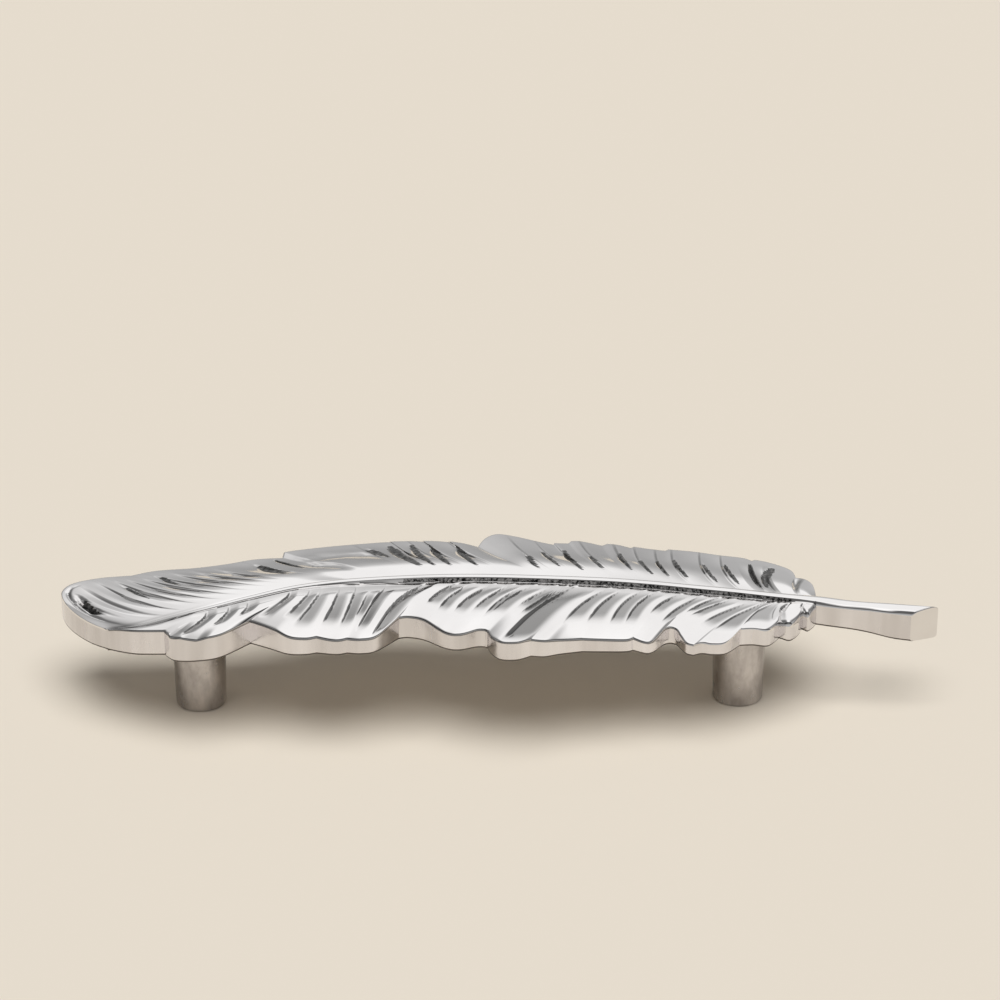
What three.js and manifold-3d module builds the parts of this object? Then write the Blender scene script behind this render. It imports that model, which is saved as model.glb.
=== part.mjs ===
// A cabinet pull in the shape of a feather, cast in one piece with its two posts.
// It stands on the feet of the posts, as it would against a drawer front. +X runs along the feather
// from the tip of the vane to the end of the quill, +Y to the far vane and +Z away from the drawer.
// The feather is drawn in a plan whose zero is midway between the two screws, at the feet.
// All sizes are in millimetres.
import * as THREE from 'three';
import { mergeVertices } from 'three/addons/utils/BufferGeometryUtils.js';
import Module from 'manifold-3d';

// Posts
const screwSpacing = 96;
const postFootRadius = 4.45;
const postTopRadius = 4.75;
const postFlareWidth = 0.6;
const postFlareHeight = 1.2;
const postSeat = 1;
const footRounding = 0.5;
const postSides = 36;
const roundingSteps = 3;

// Screw holes, blind, opening at the feet
const holeRadius = 1.8;
const holeDepth = 9;
const holeMouthChamfer = 0.5;
const holeTipHeight = 1;

// Underside: an arch, highest midway between the posts
const undersideAtMiddle = 17.5;
const undersideAtPosts = 15.5;
const undersideFacets = 44;

// Thickness of the casting above the arch: [x, thickness]
const edgeThickness = [
  [-73, 4.0], [-45, 3.7], [-25, 3.3], [-5, 3.5], [6, 3.7], [20, 3.0], [40, 2.6], [62, 2.8],
];
const crestThickness = [
  [-63, 4.1], [-58, 4.6], [-48, 5.4], [-38, 6.0], [-24, 6.5], [0, 6.7],
  [23, 6.4], [44, 5.4], [58, 4.7], [66, 4.6], [78, 5.6], [84, 5.7],
];
const edgeRounding = 0.35;

// Shaft of the feather: its middle line in plan, half its width, and how far it stands above the vane
const shaftLine = [
  [-63.2, -7.7], [-58.4, -8.5], [-52.2, -7.3], [-45.3, -5.5], [-38.5, -3.4], [-29.8, -0.9], [-19.3, 0.2],
  [-5.2, 0.5], [16, 0.1], [37.2, 0.2], [51.5, 0.7], [61, 1.0], [66, 0.6], [72, -0.3], [78, -1.2], [84, -0.9],
];
const shaftHalfWidth = [
  [-61, 0.25], [-50, 0.6], [-20, 0.95], [30, 1.05], [58, 1.3], [64, 1.75], [72, 1.5], [84, 1.6],
];
const shaftRise = [[-61, 0.05], [-50, 0.25], [-24, 0.4], [-16, 0.72], [45, 0.72], [60, 0.55]];
const shaftStart = -61;
const shaftStep = 2.4;
const quillEnd = 83.6;
const quillEndSlant = 5.5;

// Section of the shaft from its middle to its side: [share of its half width, drop below its crest],
// and how full the drop is along it: the quill is flatter
const shaftSection = [[0, 0], [0.4, 0.05], [0.72, 0.19], [0.86, 0.36], [1, 0.95]];
const shaftRoundness = [[58, 1], [66, 0.65]];

// Outlines of the two vanes in plan, from the tip of the shaft to the quill. Each lobe is a smooth
// curve through its points, and one lobe meets the next at a corner.
const nearOutline = [
  [[-63.2, -7.7], [-60.8, -9.4], [-57.7, -11.0], [-52.9, -12.1]],
  [[-52.6, -12.9], [-50.8, -15.1], [-47, -15.9], [-43, -15.1], [-38.1, -10.5]],
  [[-38.1, -10.5], [-35, -12.9], [-31.5, -15.7], [-28.5, -16.3], [-26.5, -15.9]],
  [[-26.5, -15.9], [-23.1, -16.9], [-21.2, -16.5]],
  [[-21.2, -16.5], [-18.8, -17.0], [-16.2, -16.2], [-12.3, -11.4]],
  [[-12.3, -11.4], [-10.7, -11.2], [-8, -12.4], [-4.5, -15.7], [-2, -16.5], [1, -15.4], [2.4, -15.4]],
  [[2.9, -15.8], [3.6, -18.4], [5.2, -20.4], [7.9, -20.5], [10.3, -19.0]],
  [[10.3, -19.0], [12.6, -19.2], [15.1, -18.2], [19.1, -17.0]],
  [[19.1, -17.0], [22.4, -16.9], [26.5, -16.6], [28, -15.9]],
  [[28, -15.9], [30.5, -17.0], [32.1, -15.4], [33.4, -13.4], [34.5, -12.5], [35.6, -12.9],
   [36.3, -14.6], [37.1, -16.3], [38.3, -16.9]],
  [[38.3, -16.9], [39.9, -16.0], [41.7, -16.2], [44.1, -15.5], [46.9, -11.8]],
  [[46.9, -11.8], [49.1, -11.3], [51.5, -11.4], [52.9, -10.0], [54.2, -7.6]],
  [[54.2, -7.6], [55.9, -8.4], [57.6, -6.2], [58.7, -3.2]],
  [[58.7, -3.2], [59.6, -3.9], [60.6, -2.6], [61.4, -0.9]],
];
const farOutline = [
  [[-63.2, -7.7], [-66.5, -4.5], [-69.8, 0.2], [-72.2, 5.3], [-73.2, 10.2], [-71.6, 13.3], [-67, 14.4],
   [-61, 14.1]],
  [[-61, 14.1], [-56.5, 15.2], [-50, 15.0], [-44.2, 15.7], [-38.7, 17.2], [-33.9, 17.3]],
  [[-33.7, 19.8], [-31, 20.6], [-25, 21.6], [-16.5, 22.2], [-12.2, 22.2]],
  [[-12.2, 22.2], [-7.8, 21.9], [-4.4, 21.7], [-1.5, 20.6], [1.7, 18.8]],
  [[1.7, 18.8], [3.0, 22.4], [5.2, 24.4], [8.5, 23.6], [12.4, 22.0], [15.6, 20.9]],
  [[15.8, 21.7], [18.4, 22.0]],
  [[18.9, 23.1], [20.8, 23.3], [24.6, 21.8]],
  [[25.6, 22.8], [27.6, 22.6], [29.9, 21.5]],
  [[30.5, 22.2], [33.3, 21.6], [36.2, 21.2]],
  [[36.8, 21.9], [41.5, 21.5], [46, 20.5]],
  [[46, 20.5], [50.3, 19.9], [51.9, 18.8]],
  [[52.4, 19.4], [54.8, 18.7], [57.9, 16.5], [59.0, 14.6], [59.2, 12.0]],
  [[59.2, 12.0], [60.9, 11.5], [62, 9.0], [62, 3.0]],
];

// Barbs that guide the rest: [x where it leaves the shaft, x and y where it meets the outline]
const nearGuides = [
  [-63.2, -63.2, -7.7], [-56.3, -60.8, -9.4], [-47.3, -52.9, -12.1], [-44.6, -51.0, -15.0],
  [-38.7, -45.0, -15.8], [-30.0, -38.1, -10.5], [-25.4, -33.5, -14.1], [-20.3, -26.5, -15.9],
  [-16.4, -22.5, -16.9], [-9.2, -17.4, -16.9], [-7.4, -15.5, -15.4], [-5.6, -12.3, -11.4],
  [-1.2, -8.0, -12.4], [4.6, -4.7, -15.5], [12.3, 2.4, -15.4], [16.7, 4.4, -19.8], [21.4, 9.5, -19.6],
  [27.5, 19.1, -17.0], [33.5, 26.0, -16.7], [39.8, 29.5, -16.6], [41.0, 30.5, -17.0],
  [41.8, 33.4, -13.4], [46.4, 35.0, -12.5], [51.1, 38.3, -16.9], [52.8, 43.6, -15.8],
  [54.2, 50.0, -11.3], [56.0, 54.2, -7.6], [58.3, 57.6, -6.2], [60.0, 59.6, -3.9], [61.4, 61.4, -0.9],
];
const farGuides = [
  [-63.2, -63.2, -7.7], [-61.6, -66.5, -4.5], [-59.9, -69.7, 0.0], [-57.6, -72.2, 5.2],
  [-53.6, -73.2, 10.2], [-47.1, -69.4, 14.1], [-41.9, -66.3, 14.4], [-36.5, -62.8, 14.2],
  [-28.8, -55.9, 15.2], [-23.3, -47.8, 15.2], [-17.3, -40.0, 16.9], [-11.0, -33.9, 17.3],
  [-6.8, -28.2, 21.1], [0.3, -14.6, 22.2], [5.8, -7.8, 21.9], [10.0, -4.4, 21.7], [15.5, 1.7, 18.8],
  [19.2, 7.5, 24.0], [25.4, 15.6, 20.9], [32.7, 25.6, 22.8], [37.5, 33.3, 21.6], [44.6, 41.5, 21.5],
  [52.7, 50.3, 19.9], [57.1, 56.3, 17.8], [59.0, 59.2, 12.0], [60.2, 61.6, 10.4], [61.4, 62.0, 3.0],
];

// How barbs bend: [x, angle from the shaft in degrees] where they leave it, the turn at their end in
// degrees, and how far the bends reach from the shaft and from the outline, as shares of the span
const nearBend = { leave: [[-63, 60], [61, 60]], turn: 2, leaveReach: 0.38, endReach: 0.42 };
const farBend = {
  leave: [[-63.2, 60], [-60, 34], [-50, 12], [61, 65]], turn: -14, leaveReach: 0.34, endReach: 0.36,
};

// Where the slope of a vane starts and stops growing, as shares of the barb
const nearSlope = [-0.1, 0.9];
const farSlope = [0.14, 0.56];

// How much higher the edge stands where the outline comes nearer to the shaft: [reach of the vane, lift]
const nearLift = [[0, 0.6], [3, 1.0], [7, 1.05], [12, 0.85], [15.2, 0.1], [17, -0.3], [20, 0]];
const farLift = [[0, 0.6], [6, 0.5], [14, 0.2], [18, 0]];

// Valley beside the shaft on the near vane: its depth, and its width as a share of the barb
const valleyDepth = 0.22;
const valleyShare = 0.16;

// Grooves between barbs: [x where its barb leaves the shaft, start and end along the barb from 0 at the
// shaft to 1 at the outline, width of its flank towards the tip, width of the other flank, depth].
// One that ends past 1 runs out through the edge.
const nearGrooves = [
  [-45.5, 0.45, 1.05, 0.8, 1.5, 0.35], [-43.9, 0.02, 0.95, 1.0, 1.6, 0.4],
  [-40.9, 0.72, 1.3, 2.6, 2.6, 0.45], [-40.1, 0.0, 0.75, 1.0, 1.6, 0.4],
  [-36.8, 0.0, 0.6, 1.0, 1.8, 0.4], [-30.6, 0.0, 0.8, 1.8, 1.8, 0.3],
  [-28.1, 0.02, 0.78, 0.9, 1.4, 0.36], [-25.7, 0.02, 0.8, 1.0, 1.6, 0.42],
  [-23.6, 0.02, 0.88, 1.0, 1.6, 0.42], [-20.3, 0.02, 0.85, 1.1, 1.8, 0.48],
  [-17.4, 0.0, 0.85, 1.1, 1.8, 0.46], [-15.1, 0.1, 0.75, 0.9, 1.3, 0.36],
  [-13.3, 0.02, 0.9, 1.0, 1.9, 0.5], [-9.0, -0.1, 0.98, 1.2, 3.4, 0.8],
  [-2.9, 0.0, 0.74, 1.1, 2.4, 0.58], [0.1, 0.05, 0.8, 1.0, 2.0, 0.5], [3.7, 0.02, 0.75, 1.1, 2.3, 0.56],
  [7.0, 0.0, 0.7, 1.0, 2.0, 0.5], [9.9, 0.1, 0.78, 0.8, 0.9, 0.36], [10.9, 0.02, 0.76, 0.8, 2.2, 0.54],
  [14.4, 0.0, 0.6, 1.0, 1.9, 0.48], [17.4, 0.0, 0.68, 0.9, 1.6, 0.44],
  [19.7, 0.05, 0.62, 0.7, 1.2, 0.95], [19.7, 0.0, 0.98, 2.2, 3.8, 0.95],
  [24.0, 0.02, 0.75, 1.0, 2.0, 0.48], [26.9, 0.05, 0.78, 1.1, 2.1, 0.52],
  [30.1, 0.02, 0.8, 1.0, 1.9, 0.46], [32.5, 0.02, 0.78, 1.0, 2.0, 0.48],
  [36.6, 0.02, 0.62, 1.0, 2.1, 0.48], [40.4, 0.05, 0.72, 1.0, 1.9, 0.44],
  [43.6, 0.02, 0.65, 1.0, 1.9, 0.42], [46.2, 0.05, 0.72, 1.0, 1.7, 0.42],
  [49.5, 0.05, 0.75, 0.9, 1.5, 0.4], [51.8, 0.05, 0.8, 0.8, 1.1, 0.34],
  [53.6, 0.1, 0.85, 0.7, 1.0, 0.3], [54.9, 0.2, 0.85, 0.6, 0.9, 0.28], [56.0, 0.15, 1.1, 0.4, 0.6, 0.5],
  [59.2, 0.3, 1.1, 0.3, 0.5, 0.4],
];
const farGrooves = [
  [-53.2, 0.3, 0.85, 0.9, 0.6, 0.28], [-49.7, 0.1, 0.95, 1.5, 0.6, 0.36],
  [-46.0, 0.15, 0.95, 1.5, 0.6, 0.36], [-41.7, 0.2, 0.95, 1.5, 0.6, 0.38],
  [-38.6, 0.15, 0.95, 1.4, 0.6, 0.32], [-35.2, 0.18, 0.95, 1.6, 0.6, 0.36],
  [-32.5, 0.2, 0.95, 1.5, 0.6, 0.34], [-29.9, 0.2, 0.95, 1.6, 0.6, 0.36],
  [-27.0, 0.25, 0.95, 1.5, 0.55, 0.36], [-24.1, 0.3, 0.95, 1.5, 0.5, 0.38],
  [-18.8, 0.4, 0.95, 2.6, 0.5, 0.6], [-14.2, 0.45, 0.98, 2.4, 0.4, 0.42],
  [-9.1, 0.4, 0.9, 2.4, 0.5, 0.3], [-3.5, 0.45, 0.95, 2.8, 0.4, 0.36],
  [0.6, 0.38, 0.98, 3.0, 0.34, 0.42], [3.1, 0.38, 1.0, 2.8, 0.32, 0.44],
  [5.5, 0.38, 1.0, 2.8, 0.32, 0.44], [10.3, 0.38, 1.0, 3.6, 0.34, 0.44],
  [18.8, 0.28, 0.9, 3.4, 0.24, 0.28], [22.5, 0.34, 0.95, 3.6, 0.26, 0.34],
  [25.6, 0.34, 1.0, 3.2, 0.28, 0.38], [29.1, 0.3, 1.0, 3.4, 0.26, 0.34],
  [33.2, 0.3, 1.0, 3.6, 0.26, 0.34], [35.5, 0.26, 0.98, 2.6, 0.24, 0.34],
  [38.1, 0.22, 0.98, 2.8, 0.26, 0.36], [40.8, 0.18, 0.98, 2.8, 0.28, 0.38],
  [45.3, 0.15, 1.0, 3.6, 0.28, 0.38], [49.0, 0.12, 1.0, 3.2, 0.32, 0.4],
  [53.7, 0.1, 0.8, 1.8, 0.5, 0.5], [55.7, 0.06, 0.8, 1.4, 0.7, 0.55], [59.2, 0.2, 1.0, 0.4, 0.4, 0.4],
];

// Lengths over which grooves deepen and end, as shares of the barb
const nearFade = { start: 0.3, end: 0.2 };
const farFade = { start: 0.3, end: 0.4 };

// A gouge that follows the edge of the tip: its line in plan, the widths of its flanks towards the edge
// and away from it, its depth, and the shares of its length over which it deepens and ends
const tipGougeLine = [[-71.9, 10.6], [-71.2, 6.2], [-69.3, 2.2], [-66.2, -1.8], [-63.4, -4.2]];
const tipGougeOuterWidth = 1.6;
const tipGougeInnerWidth = 0.9;
const tipGougeDepth = 0.65;
const tipGougeFade = 0.3;

// Steps of the vane surface along a barb, as shares of its length
const barbSteps = [0.06, 0.13, 0.21, 0.31, 0.42, 0.54, 0.66, 0.77, 0.86, 0.92];

// Spacing of the barbs along the outline, their spacing on the tip, which is all that lies left of
// tipEnd, and how close two of them may come
const rowSpacing = 2.4;
const tipRowSpacing = 1.5;
const tipEnd = -55;
const closestRows = 0.55;

// Fineness of the curves, how far each vane reaches past the middle of the shaft, as a share of the
// shaft's half width, and how far a cutter reaches past what it cuts
const pointsPerSpan = 12;
const vaneOverlap = 0.5;
const overcut = 5;

const wasm = await Module();
wasm.setup();

// A smooth function through [x, value] pairs that doesn't overshoot them
function through(pairs) {
  const slope = pairs.slice(1).map(([x, v], i) => (v - pairs[i][1]) / (x - pairs[i][0]));
  const tangent = pairs.map((_, i) => {
    if (i === 0) return slope[0];
    if (i === slope.length) return slope[i - 1];
    const [a, b] = [slope[i - 1], slope[i]];
    return a * b <= 0 ? 0 : (2 * a * b) / (a + b);
  });
  return (x) => {
    let i = pairs.findIndex(([px]) => px > x) - 1;
    if (i === -2) return pairs.at(-1)[1];
    if (i < 0) return pairs[0][1];
    const width = pairs[i + 1][0] - pairs[i][0];
    const t = (x - pairs[i][0]) / width;
    const s = 1 - t;
    return pairs[i][1] * s * s * (1 + 2 * t) + pairs[i + 1][1] * t * t * (3 - 2 * t)
      + width * t * s * (tangent[i] * s - tangent[i + 1] * t);
  };
}

const shaftY = through(shaftLine);
const edgeAt = through(edgeThickness);
const crestAt = through(crestThickness);
const shaftWidthAt = through(shaftHalfWidth);
const shaftRiseAt = through(shaftRise);
const shaftRoundnessAt = through(shaftRoundness);

function underside(x) {
  const fall = undersideAtMiddle - undersideAtPosts;
  return undersideAtMiddle - fall * (x / (screwSpacing / 2)) ** 2;
}

function smoothstep(t) {
  return THREE.MathUtils.smoothstep(t, 0, 1);
}

function splineThrough(points) {
  return new THREE.SplineCurve(points.map(([x, y]) => new THREE.Vector2(x, y)));
}

// The outline as a fine polyline that can be asked for the point at a distance along it. Marks are the
// distances of its corners and of the place in each lobe that stands out farthest to the vane's side.
function traceOutline(lobes, side) {
  const points = [];
  const marks = [];
  for (const lobe of lobes) {
    const curve = splineThrough(lobe).getPoints(pointsPerSpan * lobe.length);
    const farthest = curve.reduce((best, p, i) => (side * p.y > side * curve[best].y ? i : best), 0);
    marks.push(points.length, points.length + farthest, points.length + curve.length - 1);
    points.push(...curve);
  }
  const leftmost = points.reduce((best, p, i) => (p.x < points[best].x ? i : best), 0);
  const distance = [0];
  for (let i = 1; i < points.length; i++) {
    distance.push(distance[i - 1] + points[i].distanceTo(points[i - 1]));
  }
  const at = (d) => {
    const i = Math.max(1, distance.findIndex((v) => v >= d - 1e-9));
    const span = distance[i] - distance[i - 1];
    const t = span > 0 ? (d - distance[i - 1]) / span : 0;
    return new THREE.Vector2().lerpVectors(points[i - 1], points[i], t);
  };
  const nearest = (x, y) => {
    const target = new THREE.Vector2(x, y);
    const away = points.map((p) => p.distanceTo(target));
    return distance[away.indexOf(Math.min(...away))];
  };
  return { at, nearest, length: distance.at(-1), marks: [...marks, leftmost].map((i) => distance[i]) };
}

// The part of the fall from the shaft to the edge that is behind a share of the barb: its slope grows
// between two shares and stays the same before and after them
function fallBetween([from, to]) {
  const behind = (share) => {
    const t = (share - from) / (to - from);
    const inside = THREE.MathUtils.clamp(t, 0, 1);
    return inside ** 3 - inside ** 4 / 2 + Math.max(0, t - 1);
  };
  return (share) => (behind(share) - behind(0)) / (behind(1) - behind(0));
}

// One vane: side is -1 for the near vane and +1 for the far one
function makeVane(side, lobes, guides, bend, slope, lift, grooves, fade) {
  const outline = traceOutline(lobes, side);
  return {
    side,
    outline,
    bend,
    grooves,
    fade,
    rootX: through(guides.map(([x, edgeX, edgeY]) => [outline.nearest(edgeX, edgeY), x])),
    leaveAt: through(bend.leave),
    fallAt: fallBetween(slope),
    liftAt: through(lift),
    valley: side < 0 ? valleyDepth : 0,
  };
}

function rootPoint(x) {
  return new THREE.Vector2(x, shaftY(x));
}

function turned(vector, degrees) {
  return vector.clone().rotateAround(new THREE.Vector2(), THREE.MathUtils.degToRad(degrees));
}

// The barb that ends at a distance along the outline, as a curve from the shaft to its end
function barb(vane, distance) {
  const x = vane.rootX(distance);
  const root = rootPoint(x);
  const end = vane.outline.at(distance);
  const span = root.distanceTo(end);
  const towardsTip = rootPoint(x - 0.5).sub(rootPoint(x + 0.5)).normalize();
  const leave = turned(towardsTip, -vane.side * vane.leaveAt(x));
  const arrive = turned(end.clone().sub(root).normalize(), vane.side * vane.bend.turn);
  const first = root.clone().addScaledVector(leave, vane.bend.leaveReach * span);
  const last = end.clone().addScaledVector(arrive, -vane.bend.endReach * span);
  return new THREE.CubicBezierCurve(root, first, last, end);
}

// How deep the grooves are at a barb and a share of its length
function grooveDepth(vane, x, share) {
  const depths = vane.grooves.map(([grooveX, start, end, tipSide, quillSide, deep]) => {
    const across = x < grooveX ? (grooveX - x) / tipSide : (x - grooveX) / quillSide;
    if (across >= 1) return 0;
    const rise = smoothstep((share - start) / vane.fade.start);
    const fall = end > 1 ? 1 : smoothstep((end - share) / vane.fade.end);
    return deep * rise * fall * (1 - across);
  });
  return Math.max(...depths);
}

const tipGouge = splineThrough(tipGougeLine).getPoints(pointsPerSpan * tipGougeLine.length);

// How deep the gouge on the tip is at a point
function tipGougeDepthAt(point) {
  const away = tipGouge.map((p) => p.distanceTo(point));
  const i = away.indexOf(Math.min(...away));
  const along = tipGouge[Math.min(i + 1, tipGouge.length - 1)].clone().sub(tipGouge[Math.max(i - 1, 0)]);
  const inward = along.cross(point.clone().sub(tipGouge[i])) > 0;
  const place = i / (tipGouge.length - 1);
  const strength = smoothstep(place / tipGougeFade) * smoothstep((1 - place) / tipGougeFade);
  const across = away[i] / (inward ? tipGougeInnerWidth : tipGougeOuterWidth);
  return tipGougeDepth * strength * Math.max(0, 1 - across);
}

// Height of the top of a vane, at a point on the barb that leaves the shaft at a given x
function vaneHeight(vane, rootAt, reach, share, point) {
  const root = crestAt(rootAt) - shaftRiseAt(rootAt);
  const edge = Math.min(edgeAt(point.x) + vane.liftAt(reach), root);
  const camber = edge + (root - edge) * (1 - vane.fallAt(share));
  const valley = vane.valley * (1 - smoothstep(share / valleyShare));
  const carved = grooveDepth(vane, rootAt, share) + tipGougeDepthAt(point);
  return underside(point.x) + camber - valley - carved;
}

// Distances along the outline that get a row: corners and peaks of lobes, bottoms and rims of grooves,
// then an even fill
function rowDistances(vane) {
  const { outline, rootX, grooves } = vane;
  const rows = [...new Set([0, ...outline.marks, outline.length])].sort((a, b) => a - b);
  const distanceOf = (x) => {
    let [low, high] = [0, outline.length];
    while (high - low > 1e-4) {
      const half = (low + high) / 2;
      if (rootX(half) < x) low = half;
      else high = half;
    }
    return (low + high) / 2;
  };
  const add = (x) => {
    const d = distanceOf(x);
    if (rows.every((r) => Math.abs(r - d) >= closestRows)) rows.push(d);
  };
  grooves.forEach(([x]) => add(x));
  grooves.forEach(([x, , , tipSide, quillSide]) => [x - tipSide, x + quillSide].forEach(add));
  rows.sort((a, b) => a - b);
  const filled = [];
  rows.forEach((d, i) => {
    filled.push(d);
    const next = rows[i + 1] ?? d;
    const spacing = outline.at(d).x < tipEnd ? tipRowSpacing : rowSpacing;
    const parts = Math.ceil((next - d) / spacing);
    for (let k = 1; k < parts; k++) filled.push(d + ((next - d) * k) / parts);
  });
  return filled;
}

// The points of one row, from under the shaft to the foot of the wall at the outline
function rowPoints(vane, distance) {
  const curve = barb(vane, distance);
  const x = vane.rootX(distance);
  const root = curve.v0;
  const end = curve.v3;
  const reach = vane.side * (end.y - shaftY(end.x));
  const length = curve.getLength();
  const height = (share, point) => vaneHeight(vane, x, reach, share, point);
  const innerY = root.y - vane.side * vaneOverlap * shaftWidthAt(x);
  const points = [[root.x, innerY, height(0, root)]];
  const rim = 1 - Math.min(edgeRounding / length, (1 - barbSteps.at(-1)) / 2);
  for (const share of [...barbSteps, rim]) {
    const p = length > edgeRounding ? curve.getPointAt(share) : curve.getPoint(share);
    points.push([p.x, p.y, height(share, p)]);
  }
  points.push([end.x, end.y, height(1, end) - edgeRounding]);
  points.push([end.x, end.y, 0]);
  points.push([root.x, innerY, 0]);
  return points;
}

// A closed skin over rows of points that each run right round the solid
function skin(rows, flip) {
  const across = rows[0].length;
  const position = rows.flat(2);
  const index = [];
  const face = (a, b, c) => index.push(...(flip ? [a, c, b] : [a, b, c]));
  for (let i = 0; i + 1 < rows.length; i++) {
    for (let j = 0; j < across; j++) {
      const k = (j + 1) % across;
      const [a, b, c, d] = [i * across + j, i * across + k, (i + 1) * across + k, (i + 1) * across + j];
      face(a, b, c);
      face(a, c, d);
    }
  }
  for (let j = 1; j + 1 < across; j++) {
    face(0, j + 1, j);
    const start = (rows.length - 1) * across;
    face(start, start + j, start + j + 1);
  }
  const geometry = new THREE.BufferGeometry();
  geometry.setAttribute('position', new THREE.Float32BufferAttribute(position, 3));
  geometry.setIndex(index);
  return geometry;
}

// A three.js geometry as a solid for joining and cutting
function solid(geometry) {
  const plain = geometry.clone();
  plain.deleteAttribute('normal');
  plain.deleteAttribute('uv');
  const merged = mergeVertices(plain, 1e-4);
  const corners = [];
  for (let i = 0; i < merged.index.count; i += 3) {
    const [a, b, c] = [0, 1, 2].map((k) => merged.index.getX(i + k));
    if (a !== b && b !== c && c !== a) corners.push(a, b, c);
  }
  const mesh = new wasm.Mesh({
    numProp: 3,
    vertProperties: new Float32Array(merged.attributes.position.array),
    triVerts: new Uint32Array(corners),
  });
  return new wasm.Manifold(mesh);
}

function vaneSolid(vane) {
  const rows = rowDistances(vane).map((d) => rowPoints(vane, d));
  return solid(skin(rows, vane.side > 0));
}

// The shaft and quill: a round-topped bar swept along the middle line, with its end cut on a slant
function shaftSolid() {
  const rows = [];
  const count = Math.ceil((quillEnd + quillEndSlant - shaftStart) / shaftStep);
  const nearHalf = shaftSection.slice(1).reverse().map(([share, drop]) => [-share, drop]);
  const section = [...nearHalf, ...shaftSection];
  for (let i = 0; i <= count; i++) {
    const x = shaftStart + i * shaftStep;
    const top = underside(x) + crestAt(x);
    const across = new THREE.Vector2(shaftY(x - 0.5) - shaftY(x + 0.5), 1).setLength(shaftWidthAt(x));
    const spot = (share, z) => [x + across.x * share, shaftY(x) + across.y * share, z];
    const over = section.map(([share, drop]) => spot(share, top - drop * shaftRoundnessAt(x)));
    rows.push([spot(-1, 0), ...over, spot(1, 0)]);
  }
  return solid(skin(rows, true)).subtract(quillEndCutter());
}

// What is cut off the end of the quill: a block whose face runs from the near side out to the far side
function quillEndCutter() {
  const width = 2 * shaftWidthAt(quillEnd);
  const size = 2 * (quillEndSlant + width + overcut);
  const height = undersideAtMiddle + crestAt(quillEnd) + overcut;
  const block = new THREE.BoxGeometry(size, size, 2 * height);
  block.translate(size / 2, 0, 0);
  block.rotateZ(-Math.atan2(quillEndSlant, width));
  block.translate(quillEnd, shaftY(quillEnd) + width / 2, 0);
  return solid(block);
}

// What is cut away under the feather, so that its underside is an arch
function archCutter() {
  const outline = [...nearOutline.flat(), ...farOutline.flat()];
  const from = Math.min(...outline.map(([x]) => x)) - overcut;
  const to = quillEnd + overcut;
  const width = 2 * (Math.max(...outline.map(([, y]) => Math.abs(y))) + overcut);
  const shape = new THREE.Shape();
  shape.moveTo(from, -overcut);
  for (let i = 0; i <= undersideFacets; i++) {
    const x = from + ((to - from) * i) / undersideFacets;
    shape.lineTo(x, underside(x));
  }
  shape.lineTo(to, -overcut);
  const block = new THREE.ExtrudeGeometry(shape, { depth: width, bevelEnabled: false });
  block.rotateX(Math.PI / 2);
  block.translate(0, width / 2, 0);
  return solid(block);
}

// A tapered post with a rounded foot, a flare under the feather and a blind screw hole
function postSolid(x) {
  const top = undersideAtPosts;
  const steps = Array.from({ length: roundingSteps + 1 }, (_, i) => i / roundingSteps);
  const hole = [
    [0, holeDepth + holeTipHeight],
    [holeRadius, holeDepth],
    [holeRadius, holeMouthChamfer],
    [holeRadius + holeMouthChamfer, 0],
  ];
  const foot = steps.map((t) => {
    const turn = (t * Math.PI) / 2;
    return [postFootRadius - footRounding * (1 - Math.sin(turn)), footRounding * (1 - Math.cos(turn))];
  });
  const flare = steps.map((t) => [postTopRadius + postFlareWidth * t * t, top - postFlareHeight * (1 - t)]);
  const seat = [[postTopRadius + postFlareWidth, top + postSeat], [0, top + postSeat]];
  const outline = [...hole, ...foot, ...flare, ...seat];
  const post = new THREE.LatheGeometry(outline.map(([r, z]) => new THREE.Vector2(r, z)), postSides);
  post.rotateX(Math.PI / 2);
  post.translate(x, 0, 0);
  return solid(post);
}

const nearVane = makeVane(-1, nearOutline, nearGuides, nearBend, nearSlope, nearLift, nearGrooves, nearFade);
const farVane = makeVane(1, farOutline, farGuides, farBend, farSlope, farLift, farGrooves, farFade);

function pullGeometry() {
  const feather = vaneSolid(nearVane).add(vaneSolid(farVane)).add(shaftSolid()).subtract(archCutter());
  const pull = feather.add(postSolid(-screwSpacing / 2)).add(postSolid(screwSpacing / 2));
  const { vertProperties, triVerts } = pull.getMesh();
  const geometry = new THREE.BufferGeometry();
  geometry.setAttribute('position', new THREE.BufferAttribute(vertProperties, 3));
  geometry.setIndex(new THREE.BufferAttribute(triVerts, 1));
  geometry.computeVertexNormals();
  return geometry;
}

const polishedMetal = new THREE.MeshStandardMaterial({ color: 0xd9d9d7, metalness: 1, roughness: 0.12 });
const pull = new THREE.Mesh(pullGeometry(), polishedMetal);
pull.name = 'feather_pull';

// The origin is at the middle of the part's box, at the feet
const box = new THREE.Box3().setFromObject(pull);
const centre = box.getCenter(new THREE.Vector3());
pull.position.set(-centre.x, -centre.y, -box.min.z);

const part = new THREE.Group();
part.add(pull);

export default part;
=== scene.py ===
"""A feather drawer pull in polished metal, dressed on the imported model's frame.

The feather is drawn in the plan frame of the casting: millimetres, with zero midway between the two
screws at the feet, +X from the tip of the vane to the quill, +Y to the far vane and +Z up. It becomes
one skin of rows. Each row is a ring: from the middle of the shaft out along a barb of the near vane,
down the near wall, under the feather, up the far wall and back along a barb of the far vane.
"""

import math

import bmesh
import bpy
import numpy as np
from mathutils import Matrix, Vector
from mathutils.kdtree import KDTree


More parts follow.
